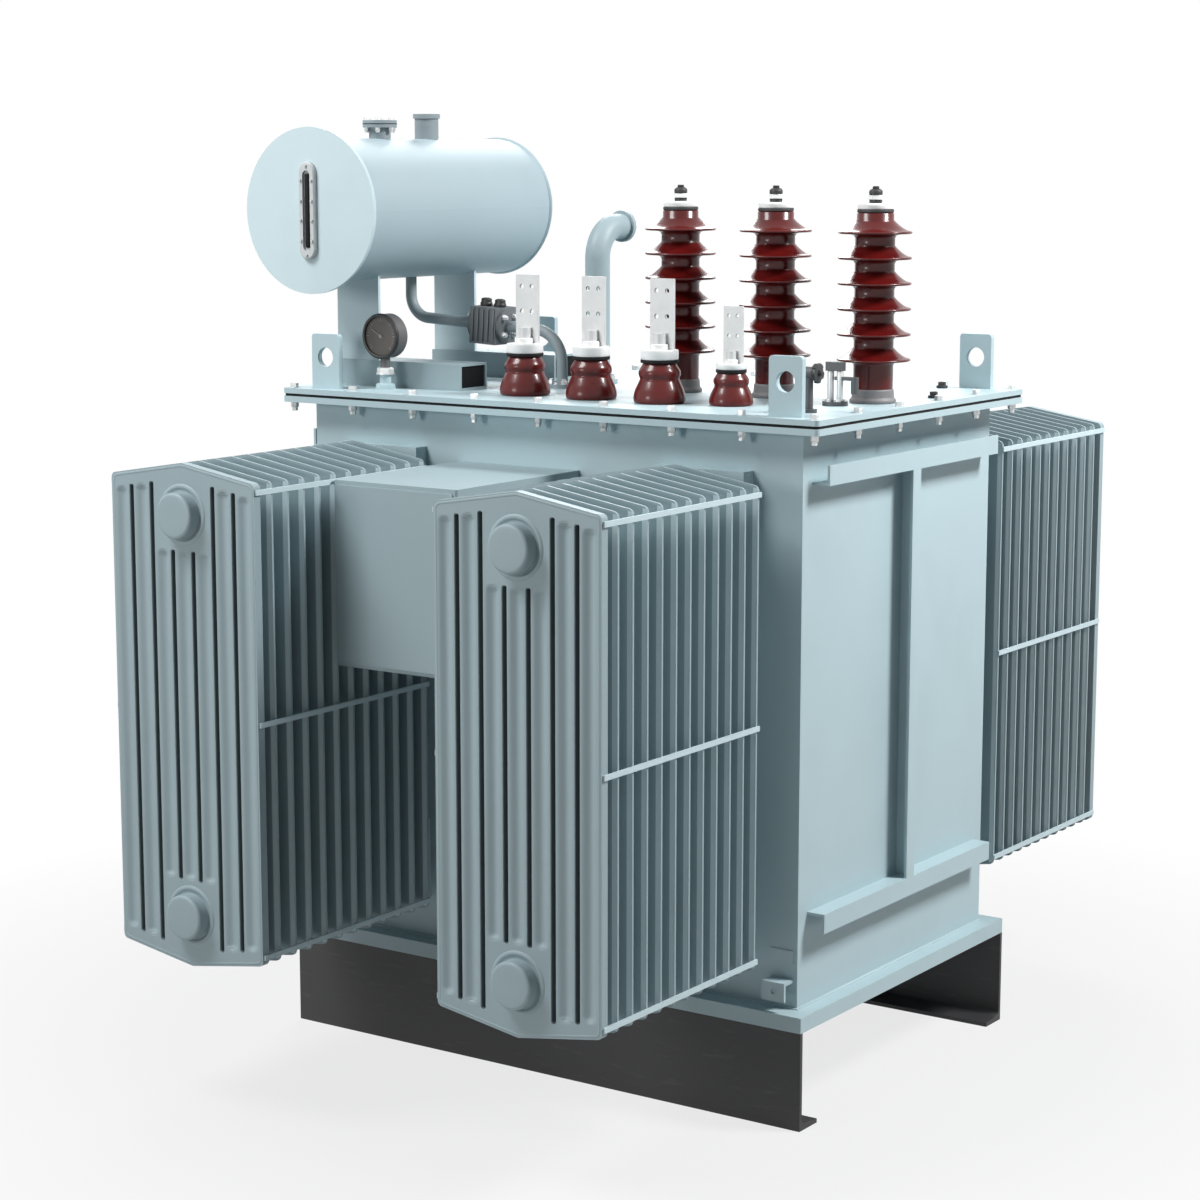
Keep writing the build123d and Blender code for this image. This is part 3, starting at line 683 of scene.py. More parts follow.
def slab(low, high, edge):
    """A block between two corners with softened edges."""
    low, high = Vector(low), Vector(high)
    block = begin(bpy.ops.mesh.primitive_cube_add, size=1.0)
    placed(block, Matrix.Translation((low + high) / 2) @ Matrix.Diagonal((*(high - low), 1.0)))
    with editing(block, "EDGE"):
        bpy.ops.mesh.select_all(action="SELECT")
        bpy.ops.mesh.bevel(offset=edge, segments=2, affect="EDGES")
    return block


def fastener(across, height, end=0.0):
    """A chamfered hexagon on a round washer, at the origin, with a bolt's end in it where one is given."""
    washer_height = 0.1 * across
    washer_radius = 0.62 * across
    upper = 0.4 * height
    piece = begin(
        bpy.ops.mesh.primitive_cylinder_add, vertices=6, radius=across / math.sqrt(3), depth=height
    )
    with editing(piece, "EDGE"):
        choose(piece, "edges", lambda middle, normal: middle.z > upper)
        bpy.ops.mesh.bevel(offset=0.1 * across, segments=2, affect="EDGES")
        if end:
            bpy.ops.mesh.select_mode(type="FACE")
            choose(piece, "faces", lambda middle, normal: normal.z > 0.9 and middle.z > upper)
            bpy.ops.mesh.inset(thickness=0.12 * across)
            bpy.ops.mesh.extrude_region_move(TRANSFORM_OT_translate={"value": (0, 0, end)})
    placed(piece, shift(z=height / 2 + washer_height))
    edge = [(0, 0), (washer_radius, 0), (washer_radius, washer_height), (0.4 * across, washer_height)]
    return joined(piece, turned(edge, 20))


def cut(point, normal, clear=False):
    """In edit mode, cuts all faces along a plane and drops what lies beyond it if told to."""
    bpy.ops.mesh.select_all(action="SELECT")
    bpy.ops.mesh.bisect(plane_co=point, plane_no=normal, clear_outer=clear)


def slot_distance(point, slots, radius):
    """How far a point of an upright sheet lies from the middle line of the nearest round-ended slot."""
    distances = []
    for x, (low, high) in slots.items():
        z = min(max(point.z, low + radius), high - radius)
        distances.append(math.hypot(point.x - x, point.z - z))
    return min(distances)


class Element:
    """Shapes of a radiator's pressed elements and headers, upright across X.

    The outer panel's face and the middle of an inner element lie at Y = 0. Steps are the shares of a slot's
    half-width at which the sheet is cut. Levels are pairs: how far from the slot's middle line, as such a
    share, and the share of its depth that is pushed in within that reach.
    """

    seam_steps = (1.25, 1.0, 0.84, 0.68, 0.50)
    seam_levels = ((0.92, 0.14), (0.76, 0.46), (0.59, 0.40))
    valley_steps = (1.0, 0.78, 0.52, 0.26, 0.0)
    valley_levels = ((0.90, 0.15), (0.65, 0.37), (0.40, 0.33), (0.13, 0.15))
    fin_steps = (1.0, 0.85, 0.65, 0.36, 0.0)
    fin_levels = ((0.92, 0.35), (0.75, 0.33), (0.50, 0.22), (0.18, 0.10))
    # Shares of a flute's pitch: half an inner flute's width, and how near the middle a cap stops a groove
    fin_flute = 0.46
    cap_reach = 1.2
    # A header's collar, counted from the pipe and its place along it
    collar = ((0, -0.016), (0.010, -0.009), (0.010, 0.009), (0, 0.016))
    flange_thickness = 0.022
    # The pressed ring round a header cap, counted from the cap's radius and foot
    cap_ring = ((0.024, -0.003), (0.018, 0.003), (0.010, 0.004), (0.002, -0.003))

    def __init__(self, form):
        self.form = form
        low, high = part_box("front_left_radiator")
        self.width = high.x - low.x
        self.height = high.z - low.z
        self.middle = (low.z + high.z) / 2
        self.bottom = low.z + form.gable
        self.top = high.z - form.gable
        self.depth = high.y - low.y - form.cap_height
        self.pitch = self.width / form.flute_count
        self.slope = math.atan2(form.gable, self.width / 2)
        pads_low, pads_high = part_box("front_header_pads")
        self.headers = (pads_low.z + form.pad_height / 2, pads_high.z - form.pad_height / 2)

    def corners(self):
        """Side, end and level of the four corners below the gables."""
        return [(side, end, level) for end, level in ((1, self.top), (-1, self.bottom)) for side in (-1, 1)]

    @staticmethod
    def leaning(side, end, angle):
        """A direction in the sheet that leans from the upright to one side."""
        return Vector((side * math.sin(angle), 0, end * math.cos(angle)))

    def sheet(self, columns=(), rows=()):
        """A flat sheet of the gabled outline with rounded corners, cut along the given columns and rows."""
        piece = begin(bpy.ops.mesh.primitive_plane_add, size=1.0)
        placed(piece, shift(z=self.middle) @ TO_FRONT @ Matrix.Diagonal((self.width, self.height, 1, 1)))
        with editing(piece, "FACE"):
            for corner in self.corners():
                self.trim_corner(*corner)
            for x in sorted(columns):
                cut((x, 0, 0), (1, 0, 0))
            for z in sorted(rows):
                cut((0, 0, z), (0, 0, 1))
        return piece

    def trim_corner(self, side, end, level):
        """Cuts one slope of a gable and rounds the corner below it with three more cuts."""
        radius = self.form.corner
        half = self.width / 2
        cut((side * half, 0, level), self.leaning(side, end, self.slope), clear=True)
        sink = radius * (1 - math.sin(self.slope)) / math.cos(self.slope)
        centre = Vector((side * (half - radius), 0, level - end * sink))
        for step in (1, 2, 3):
            normal = self.leaning(side, end, self.slope + (math.pi / 2 - self.slope) * step / 4)
            cut(centre + normal * radius, normal, clear=True)

    def press(self, piece, slots, radius, levels, depth):
        """Pushes round-ended slots into a sheet, level by level."""
        for reach, share in levels:

            def inside(middle, normal):
                return slot_distance(middle, slots, radius) < reach * radius

            choose(piece, "verts", inside)
            bpy.ops.transform.translate(value=(0, depth * share, 0))

    def lines(self, slots, radius, steps):
        """Columns and rows that follow the sides and round ends of the slots."""
        columns = {round(x + side * radius * step, 5) for x in slots for step in steps for side in (-1, 1)}
        ends = {end for span in slots.values() for end in ((span[0], 1), (span[1], -1))}
        rows = {round(z + inward * radius * (1 - step), 5) for z, inward in ends for step in (*steps, 0.0)}
        return columns, rows

    def panel(self):
        """The outer panel: flutes with a hollow along each, narrow seams between them and a rolled rim."""
        form = self.form
        seams, valleys = {}, {}
        for i in range(2 * form.flute_count - 1):
            x = (i + 1) * self.pitch / 2 - self.width / 2
            slots = seams if i % 2 else valleys
            slots[x] = self.groove_span(x)
        seam_radius, valley_radius = form.groove_width / 2, form.valley_width / 2
        columns, rows = self.lines(seams, seam_radius, self.seam_steps)
        more_columns, more_rows = self.lines(valleys, valley_radius, self.valley_steps)
        piece = self.sheet(columns | more_columns, rows | more_rows)
        with editing(piece):
            self.press(piece, seams, seam_radius, self.seam_levels, form.groove_depth)
            self.press(piece, valleys, valley_radius, self.valley_levels, form.valley_depth)
            bpy.ops.mesh.select_mode(type="FACE")
            bpy.ops.mesh.select_all(action="SELECT")
            bpy.ops.mesh.extrude_region_move(TRANSFORM_OT_translate={"value": (0, form.panel_depth, 0)})
            bpy.ops.transform.resize(value=(1, 0, 1), center_override=(0, form.panel_depth, 0))
        back = form.panel_depth - 0.001
        shaded = 0.8 * seam_radius

        def deep(middle, normal):
            return slot_distance(middle, seams, seam_radius) < shaded and middle.y < back

        # The seam floors take the darker seam shade paint: painted shade in the creases
        accented(dressed(piece, "radiator paint"), "seam shade", deep)
        return joined(piece, dressed(self.rim(), "radiator paint"))

    def groove_span(self, x):
        """Lowest and highest point of a groove: near the gables, or clear of the header caps."""
        form = self.form
        if abs(x) < self.cap_reach * self.pitch:
            return self.headers[0] + form.cap_margin, self.headers[1] - form.cap_margin
        lift = form.gable * (1 - abs(x) / (self.width / 2)) - form.groove_margin
        return self.bottom - lift, self.top + lift

    def rim(self):
        """The panel's rolled edge, drawn in so that it ends flush with the outline."""
        radius = self.form.rim
        behind = 0.8 * radius
        shrink = Matrix.Diagonal((1 - 2 * radius / self.width, 1, 1 - 2 * radius / self.height, 1))
        place = shift(y=behind, z=self.middle) @ shrink @ shift(z=-self.middle)
        return placed(tubed(self.sheet(), radius), place)

    def fin(self):
        """An inner element: lens-shaped flutes on both sides of a thin welded sheet, its faces darker as
        painted shade and its edges paler as painted highlight.
        """
        form = self.form
        radius = self.fin_flute * self.pitch
        span = (self.bottom + form.seam, self.top - form.seam)
        slots = {(i + 0.5) * self.pitch - self.width / 2: span for i in range(form.flute_count)}
        piece = self.sheet(*self.lines(slots, radius, self.fin_steps))
        with editing(piece):
            for side, end, level in self.corners():
                below_peak = (0, 0, level + end * (form.gable - form.edge))
                cut(below_peak, self.leaning(side, end, self.slope))
            self.press(piece, slots, radius, self.fin_levels, -form.flute_depth)
            bpy.ops.mesh.select_all(action="SELECT")
            bpy.ops.transform.translate(value=(0, -form.seam / 2, 0))
            bpy.ops.mesh.select_mode(type="FACE")
            bpy.ops.mesh.select_all(action="SELECT")
            bpy.ops.mesh.extrude_region_move(TRANSFORM_OT_translate={"value": (0, 0, 0)})
            bpy.ops.transform.resize(value=(1, -1, 1), center_override=(0, 0, 0))
        # The faces take the darker fin paint as painted shade; faces near the sides take the pale paint and
        # the strip below the gables keeps the lighter radiator paint, both as painted highlight
        lit_band = self.width / 2 - 2 * form.edge
        accented(dressed(piece, "fin paint"), "pale paint", lambda middle, normal: abs(middle.x) > lit_band)
        return accented(piece, "radiator paint", self.on_edge)

    def on_edge(self, middle, normal):
        """Whether a face lies on the narrow edge of an inner element or just below its gables."""
        gable = self.form.gable * (1 - 2 * abs(middle.x) / self.width)
        depth = min(self.top + gable - middle.z, middle.z - self.bottom + gable)
        return abs(normal.y) < 0.4 or depth < self.form.edge

    def header(self):
        """A header pipe along Y with a collar at each element and a flange at the tank."""
        form = self.form
        radius = form.header_radius
        start = form.panel_depth / 2
        flange = self.depth - self.flange_thickness
        profile = [(0, start), (radius, start)]
        for i in range(1, form.fin_count):
            profile += [(radius + out, i * form.fin_pitch + along) for out, along in self.collar]
        profile += [(radius, flange), (2 * radius, flange), (2 * radius, self.depth), (0, self.depth)]
        bolt = fastener(across=0.020, height=0.011, end=0.006)
        bolts = ring_of(bolt, shift(z=flange) @ OVER, count=4, radius=0.055, start=45)
        return placed(joined(turned(profile, 32), bolts), TO_REAR)

    def cap(self):
        """A header's round cap inside its pressed ring."""
        radius, height = self.form.cap_radius, self.form.cap_height
        ring = softened([(radius + out, z) for out, z in self.cap_ring], 0.005)
        wall = softened([(radius, 0.0), (radius, height), (0.5 * radius, height)], 0.011, 5)
        return placed(turned([*ring, *wall, (0, height)], 48), TO_FRONT)


class TRANSFORMER_OT_radiators(bpy.types.Operator):
    """Models one radiator and stands its copies on the four sides"""

    bl_idname = "transformer.radiators"
    bl_label = "Radiators"

    # How far the inner elements stand behind the middle of their collars, as a share of their pitch
    fin_offset = 0.1

    def execute(self, context):
        form = context.scene.transformer_radiators
        element = Element(form)
        levels = [shift(z=level) for level in element.headers]
        ends = joined(spread(element.header(), levels), spread(element.cap(), levels))
        dressed(ends, "radiator paint")
        fins = [shift(y=(i + self.fin_offset) * form.fin_pitch) for i in range(1, form.fin_count)]
        radiator = joined(element.panel(), ends, spread(element.fin(), fins))
        for side in ("left", "right"):
            self.stand(radiator, f"front_{side}_radiator", form.cap_height, shift())
            self.stand(radiator, f"rear_{side}_radiator", form.cap_height, turn(180, "Z"))
        bpy.data.objects.remove(radiator)
        return {"FINISHED"}

    def stand(self, radiator, node, cap_height, facing):
        low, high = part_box(node)
        y = low.y + cap_height if low.y < 0 else high.y - cap_height
        twin = copied(radiator, shift((low.x + high.x) / 2, y) @ facing)
        settle(twin, f"{node}_elements", "radiator_paint", node, angle=PRESSED)


class TRANSFORMER_OT_high_bushings(bpy.types.Operator):
    """Models the shed porcelains, their cast flanges and their stud terminals"""

    bl_idname = "transformer.high_bushings"
    bl_label = "High-voltage bushings"

    # Points under a shed, counted from the core and the shed's level
    fillet = ((0, -0.012), (0.004, -0.005), (0.012, -0.002))
    # Points round its edge, counted from the rim, with their heights as shares of the rim's thickness
    lip = ((-0.010, 0), (-0.003, 0), (-0.0006, 0.2), (0, 0.5), (-0.001, 0.82))
    lip_end = 0.004
    top_steps = 7
    top_hollow = 1.6
    # Levels of a stud terminal above its porcelain
    seal_top = 0.009
    cap_top = 0.026
    neck_top = 0.036
    lock_nut_foot = 0.0485
    lock_nut_top = 0.066
    thread_foot = 0.064
    stud_top = 0.073

    def execute(self, context):
        form = context.scene.transformer_bushings
        low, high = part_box("hv_porcelain_1")
        porcelain = turned(self.profile(form, (high.x - low.x) / 2, high.z - low.z), 72)
        dressed(porcelain, "oxblood glaze")
        places = []
        for number in (1, 2, 3):
            node = f"hv_porcelain_{number}"
            low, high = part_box(node)
            middle = (low + high) / 2
            places.append(shift(middle.x, middle.y))
            twin = copied(porcelain, shift(middle.x, middle.y, low.z))
            settle(twin, f"{node}_glazed", "hv_porcelain", node, angle=ROUND)
        bpy.data.objects.remove(porcelain)
        self.castings(places)
        self.terminals(places)
        return {"FINISHED"}

    def profile(self, form, rim, height):
        """Plain foot, sheds with hollow tops and rounded rims, and a collar."""
        points = [(0, 0), (form.core, 0)]
        start = rim - self.lip_end
        for i in range(form.shed_count):
            z = form.first_shed + i * form.shed_pitch
            inner = form.collar if i == form.shed_count - 1 else form.core
            points += [(form.core + out, z + up) for out, up in self.fillet]
            points += [(rim + out, z + share * form.shed_rim) for out, share in self.lip]
            for step in range(self.top_steps + 1):
                share = step / self.top_steps
                rise = form.shed_drop * share ** self.top_hollow
                points.append((start + (inner - start) * share, z + form.shed_rim + rise))
        return points + [(form.collar, height - 0.003), (form.collar - 0.003, height), (0, height)]

    def castings(self, places):
        """The cast flange under each porcelain, with a rounded lip and a cement fillet."""
        low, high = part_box("hv_flanges")
        profile = [(0, 0), (0.066, 0), (0.066, 0.010), (0.060, 0.015), (0.059, 0.036)]
        profile += [(0.057, 0.040), (0, 0.040)]
        casting = dressed(turned(softened(profile, 0.003), 64), "flange casting")
        stand = spread(casting, [shift(z=low.z) @ place for place in places])
        settle(stand, "hv_flange_castings", "cast_metal", "hv_flanges")

    def terminals(self, places):
        """Dark seal, white cap, neck, two nuts and a threaded stud on each porcelain."""
        low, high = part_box("hv_terminals")
        seal = disc(radius=0.0515, height=self.seal_top, edge=0.002, steps=48)
        dome = [(0, self.seal_top), (0.050, self.seal_top), (0.050, 0.022), (0.046, self.cap_top)]
        cap = turned(softened([*dome, (0, self.cap_top)], 0.003), 48)
        neck = disc(radius=0.018, height=self.neck_top - self.cap_top, edge=0.001)
        placed(neck, shift(z=self.cap_top))
        nut = placed(fastener(across=0.036, height=0.009), shift(z=self.neck_top))
        foot, top = self.lock_nut_foot, self.lock_nut_top
        side = [(0, foot), (0.019, foot), (0.019, 0.060), (0.013, top), (0, top)]
        lock_nut = turned(softened(side, 0.003), 24)
        thread = [(0, self.thread_foot), (0.0095, self.thread_foot)]
        pitch = 0.0025
        for i in range(3):
            z = self.thread_foot + 0.0005 + i * pitch
            thread += [(0.0100, z), (0.0088, z + pitch / 2)]
        point = [(0.0090, self.stud_top - 0.001), (0.0080, self.stud_top), (0, self.stud_top)]
        stud = turned([*thread, *point], 24)
        for piece in (seal, neck, lock_nut, stud):
            dressed(piece, "dark washer")
        for piece in (cap, nut):
            dressed(piece, "white cap")
        terminal = joined(seal, cap, neck, nut, lock_nut, stud)
        stand = spread(terminal, [shift(z=low.z) @ place for place in places])
        settle(stand, "hv_stud_terminals", "terminal_metal", "hv_terminals")


class TRANSFORMER_OT_low_bushings(bpy.types.Operator):
    """Models the low porcelains, and the seals, white caps and nuts on them"""

    bl_idname = "transformer.low_bushings"
    bl_label = "Low-voltage bushings"

    # Radius and height of the metal cap, then of the nut on it
    phase_cap = (0.053, 0.036, 0.025, 0.016)
    neutral_cap = (0.042, 0.024, 0.020, 0.0128)
    seal_height = 0.011
    lap = 0.001
    # How far the white caps stand out from the metal under them
    skin = 0.0006

    # The porcelain's outline in shares of its radius and height
    skirt = ((0, 0), (0.95, 0), (1.0, 0.05), (1.0, 0.18), (0.93, 0.34), (0.82, 0.50), (0.745, 0.60))
    shoulder = ((0.79, 0.66), (0.81, 0.70), (0.81, 0.79), (0.73, 0.88), (0.65, 0.955), (0.635, 1.0), (0, 1.0))

    def execute(self, context):
        caps = {f"lv_porcelain_{number}": self.phase_cap for number in (1, 2, 3)}
        caps["neutral_porcelain"] = self.neutral_cap
        seals, covers = [], []
        for node, (radius, height, nut_radius, nut_height) in caps.items():
            low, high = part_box(node)
            middle = (low + high) / 2
            foot = shift(middle.x, middle.y, low.z)
            outline = self.profile((high.x - low.x) / 2, high.z - low.z)
            porcelain = placed(dressed(turned(outline, 64), "red-brown glaze"), foot)
            settle(porcelain, f"{node}_glazed", "lv_porcelain", node, angle=ROUND)
            seal = disc(radius + 2 * self.skin, self.seal_height, edge=0.003, steps=48)
            seals.append(placed(seal, shift(middle.x, middle.y, high.z - self.lap)))
            base = self.seal_height - self.lap
            cap = disc(radius + self.skin, height - base + self.skin, edge=0.004, steps=48)
            nut = placed(disc(nut_radius, nut_height, edge=0.003), shift(z=height - base))
            covers.append(placed(joined(cap, nut), shift(middle.x, middle.y, high.z + base)))
        settle(dressed(joined(*seals), "seal rubber"), "lv_cap_seals", "gasket")
        settle(dressed(joined(*covers), "white cap"), "lv_white_caps", "terminal_metal")
        return {"FINISHED"}

    def profile(self, rim, height):
        """A wide skirt, a belly running in to a groove, a shoulder and a neck."""
        return softened([(rim * r, height * z) for r, z in (*self.skirt, *self.shoulder)], 0.006)


class TRANSFORMER_OT_cover_bolts(bpy.types.Operator):
    """Bolts the cover to the rim"""

    bl_idname = "transformer.cover_bolts"
    bl_label = "Cover bolts"

    # Degrees from one head to the next and from one nut to the next, so that no two stand alike
    head_turn = 37
    nut_turn = 53
    # Heights of a head and a nut as shares of their width, and how far a bolt's end shows
    head_share = 0.6
    nut_share = 0.7
    bolt_end = 0.010

    def execute(self, context):
        form = context.scene.transformer_bolts
        low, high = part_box("tank_cover")
        rim_low, rim_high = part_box("tank_rim")
        centre = (low + high) / 2
        half_x = (high.x - low.x) / 2 - form.inset
        half_y = (high.y - low.y) / 2 - form.inset
        spots = []
        for i in range(form.long_side):
            x = half_x * (2 * i / (form.long_side - 1) - 1)
            spots += [(x, -half_y), (x, half_y)]
        for i in range(1, form.short_side - 1):
            y = half_y * (2 * i / (form.short_side - 1) - 1)
            spots += [(-half_x, y), (half_x, y)]
        ground = [shift(centre.x + x, centre.y + y) for x, y in spots]
        heads = [place @ turn(self.head_turn * i, "Z") for i, place in enumerate(ground)]
        nuts = [place @ OVER @ turn(self.nut_turn * i, "Z") for i, place in enumerate(ground)]
        head = fastener(form.across, self.head_share * form.across)
        top = placed(spread(head, heads), shift(z=high.z))
        nut = fastener(form.across, self.nut_share * form.across, self.bolt_end)
        under = placed(spread(nut, nuts), shift(z=rim_low.z))
        settle(dressed(joined(top, under), "zinc plate"), "cover_bolts", "terminal_metal")
        return {"FINISHED"}


class TRANSFORMER_OT_drum_fittings(bpy.types.Operator):
    """Adds the drum's weld beads, the gauge's glass and screws, the neck bolts and painted shade in the
    beams' ends
    """

    bl_idname = "transformer.drum_fittings"
    bl_label = "Conservator fittings"

    def execute(self, context):
        self.beads()
        self.gauge()
        self.neck_bolts()
        self.beam_linings()
        return {"FINISHED"}

    def beads(self):
        low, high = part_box("conservator_shell")
        middle = (low + high) / 2
        setback = 0.001
        ring = placed(bead((high.x - low.x) / 2, thickness=0.006, steps=96), TO_FRONT)
        ends = [shift(middle.x, y + setback, middle.z) for y in (low.y, high.y)]
        settle(dressed(spread(ring, ends), "drum paint"), "drum_weld_beads", "tank_paint", angle=ROUND)

    def gauge(self):
        """A glass tube with oil in the slot, and screws round the frame."""
        low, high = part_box("oil_level_gauge")
        middle = (low + high) / 2
        half_x, half_z = (high.x - low.x) / 2, (high.z - low.z) / 2
        bore, reach = 0.010, half_z - 0.034
        tube = softened([(0, -reach), (bore, -reach), (bore, reach), (0, reach)], 0.006)
        glass = placed(turned(tube, 24), shift(middle.x, low.y + bore, middle.z))
        settle(dressed(glass, "gauge glass"), "oil_gauge_glass", "gauge_metal", angle=ROUND)
        side, end = half_x - 0.0095, half_z - 0.012
        spots = [(x, share * half_z) for share in (-0.62, -0.2, 0.2, 0.62) for x in (-side, side)]
        spots += [(0, -end), (0, end)]
        screw = placed(fastener(across=0.008, height=0.004), TO_FRONT)
        screws = spread(screw, [shift(middle.x + x, low.y, middle.z + z) for x, z in spots])
        settle(dressed(screws, "gauge frame"), "oil_gauge_screws", "gauge_metal")

    def neck_bolts(self):
        """Bolts through the filler's two flanges, and the joint between them."""
        low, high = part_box("filler_neck")
        middle = (low + high) / 2
        top = shift(middle.x, middle.y, high.z)
        count, circle, both_flanges = 6, 0.043, 0.022
        heads = ring_of(fastener(across=0.014, height=0.008), top, count, circle)
        nut = fastener(across=0.014, height=0.009, end=0.004)
        nuts = ring_of(nut, top @ shift(z=-both_flanges) @ OVER, count, circle)
        settle(dressed(joined(heads, nuts), "zinc plate"), "filler_bolts", "terminal_metal")
        joint, seal_height = both_flanges / 2, 0.003
        seal = disc(radius=0.0505, height=seal_height, edge=0.001, steps=48)
        placed(seal, top @ shift(z=-joint - seal_height / 2))
        ring = placed(bead(radius=0.0515, thickness=0.0018, steps=48), top @ shift(z=-joint))
        settle(dressed(joined(seal, ring), "seal rubber"), "filler_seal", "gasket")

    def beam_linings(self):
        """Near-black plugs just inside the ends of the square tubes: painted shade."""
        wall, recess, reach = 0.0065, 0.006, 0.030
        shade_plugs = []
        for node in ("conservator_front_beam", "conservator_rear_beam"):
            low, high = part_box(node)
            for start, end in ((low.x + recess, low.x + reach), (high.x - reach, high.x - recess)):
                corner = (start, low.y + wall, low.z + wall)
                shade_plugs.append(slab(corner, (end, high.y - wall, high.z - wall), edge=0.001))
        settle(dressed(joined(*shade_plugs), "tube lining"), "beam_linings", "tank_paint")


class TRANSFORMER_OT_relay(bpy.types.Operator):
    """Adds the relay's ribs, caps and flange bolts, and bolts the pipe to the cover"""

    bl_idname = "transformer.relay"
    bl_label = "Gas relay"

    # Half the casting's height, what stands above it, and its tilt in degrees
    half_height = 0.056
    stub_height = 0.0208
    tilt = 3
    # The ribs' spacing, half their width, their inner and outer face, and half their height
    rib_pitch = 0.019
    rib_half = 0.005
    rib_rise = (0.051, 0.0565)
    rib_reach = 0.050
    cap_outline = (
        (0, 0),
        (0.019, 0),
        (0.019, 0.008),
        (0.0165, 0.010),
        (0.0165, 0.020),
        (0.010, 0.023),
        (0, 0.023),
    )
    cap_offset = 0.026
    flange_offset = 0.060

    def execute(self, context):
        low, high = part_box("gas_relay")
        middle = (low + high) / 2
        body = shift(middle.x, middle.y, high.z - self.stub_height - self.half_height) @ turn(self.tilt, "Y")
        self.ribs(body)
        cap = turned(softened(self.cap_outline, 0.002), 24)
        seats = [body @ shift(side * self.cap_offset, 0, self.half_height) for side in (-1, 1)]
        settle(dressed(spread(cap, seats), "black plastic"), "relay_caps", "dial_black")
        bolts = []
        for side, facing in ((-1, TO_LEFT), (1, TO_RIGHT)):
            flange = body @ shift(x=side * self.flange_offset) @ facing
            bolt = fastener(across=0.015, height=0.009, end=0.004)
            bolts.append(ring_of(bolt, flange, count=4, radius=0.037, start=45))
        pipe_low, pipe_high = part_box("relay_pipe_lower")
        foot_radius, foot_height = 0.045, 0.012
        landing = shift(pipe_high.x - foot_radius, middle.y, pipe_low.z + foot_height)
        bolt = fastener(across=0.016, height=0.009, end=0.005)
        bolts.append(ring_of(bolt, landing, count=4, radius=0.033, start=45))
        settle(dressed(joined(*bolts), "zinc plate"), "relay_pipe_bolts", "terminal_metal")
        return {"FINISHED"}

    def ribs(self, body):
        """Five upright ribs on the front and the rear of the casting."""
        root, crest = self.rib_rise
        ribs = []
        for i in range(-2, 3):
            x = self.rib_pitch * i
            low = (x - self.rib_half, -crest, -self.rib_reach)
            rib = slab(low, (x + self.rib_half, -root, self.rib_reach), edge=0.0015)
            ribs += [rib, copied(rib, turn(180, "Z"))]
        settle(dressed(placed(joined(*ribs), body), "relay casting"), "relay_ribs", "relay_metal")


class TRANSFORMER_OT_dial(bpy.types.Operator):
    """Adds the thermometer's face, scale, needle, bezel and nuts"""

    bl_idname = "transformer.dial"
    bl_label = "Dial thermometer"

    # The bezel's outline, from the case's radius and front
    bezel_outline = (
        (-0.009, -0.005),
        (-0.008, 0.002),
        (-0.002, 0.003),
        (0.002, -0.001),
        (0.002, -0.008),
        (-0.0005, -0.009),
    )
    # Levels behind the case's front
    face_level = -0.0055
    tick_level = -0.0046
    needle_level = -0.0038
    # Half the width and the length of a tick on the scale
    long_tick = (0.001, 0.010)
    short_tick = (0.0006, 0.006)
    tick_count = 25
    # Degrees that the scale spans, and where the needle stands on it
    sweep = 270
    needle_turn = 58

    def execute(self, context):
        low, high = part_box("dial_thermometer")
        radius = (high.x - low.x) / 2
        front = shift((low.x + high.x) / 2, low.y, high.z - radius) @ TO_FRONT
        rim = softened([(radius + out, z) for out, z in self.bezel_outline], 0.002)
        bezel = dressed(turned(rim, 64), "black plastic")
        face = disc(radius - 0.0085, height=0.001, edge=0.0004, steps=48)
        dressed(placed(face, shift(z=self.face_level)), "dial face")
        marks = dressed(joined(*self.ticks(radius), self.needle(radius)), "pale ink")
        settle(placed(joined(bezel, face, marks), front), "dial_face", "dial_black")
        self.nuts()
        return {"FINISHED"}

    def ticks(self, radius):
        ticks = []
        for i in range(self.tick_count):
            half, length = self.short_tick if i % 4 else self.long_tick
            tick = slab((-half, 0, 0), (half, length, 0.0006), edge=0.0002)
            angle = self.sweep * (i / (self.tick_count - 1) - 0.5)
            ticks.append(placed(tick, turn(angle, "Z") @ shift(y=radius - 0.022, z=self.tick_level)))
        return ticks

    def needle(self, radius):
        pointer = slab((-0.0016, -0.012, 0), (0.0016, radius - 0.026, 0.0012), edge=0.0004)
        hub = disc(radius=0.006, height=0.0025, edge=0.001, steps=20)
        return placed(joined(pointer, hub), turn(self.needle_turn, "Z") @ shift(z=self.needle_level))

    def nuts(self):
        """A zinc nut at the stem and a painted one at the foot of its pocket."""
        low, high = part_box("dial_pocket")
        middle = (low + high) / 2
        height = 0.016
        nut = placed(fastener(across=0.044, height=height), shift(middle.x, middle.y, high.z - height))
        foot = placed(fastener(across=0.050, height=0.012), shift(middle.x, middle.y, low.z))
        dressed(nut, "zinc plate")
        dressed(foot, "tank paint")
        settle(joined(nut, foot), "dial_nuts", "terminal_metal")


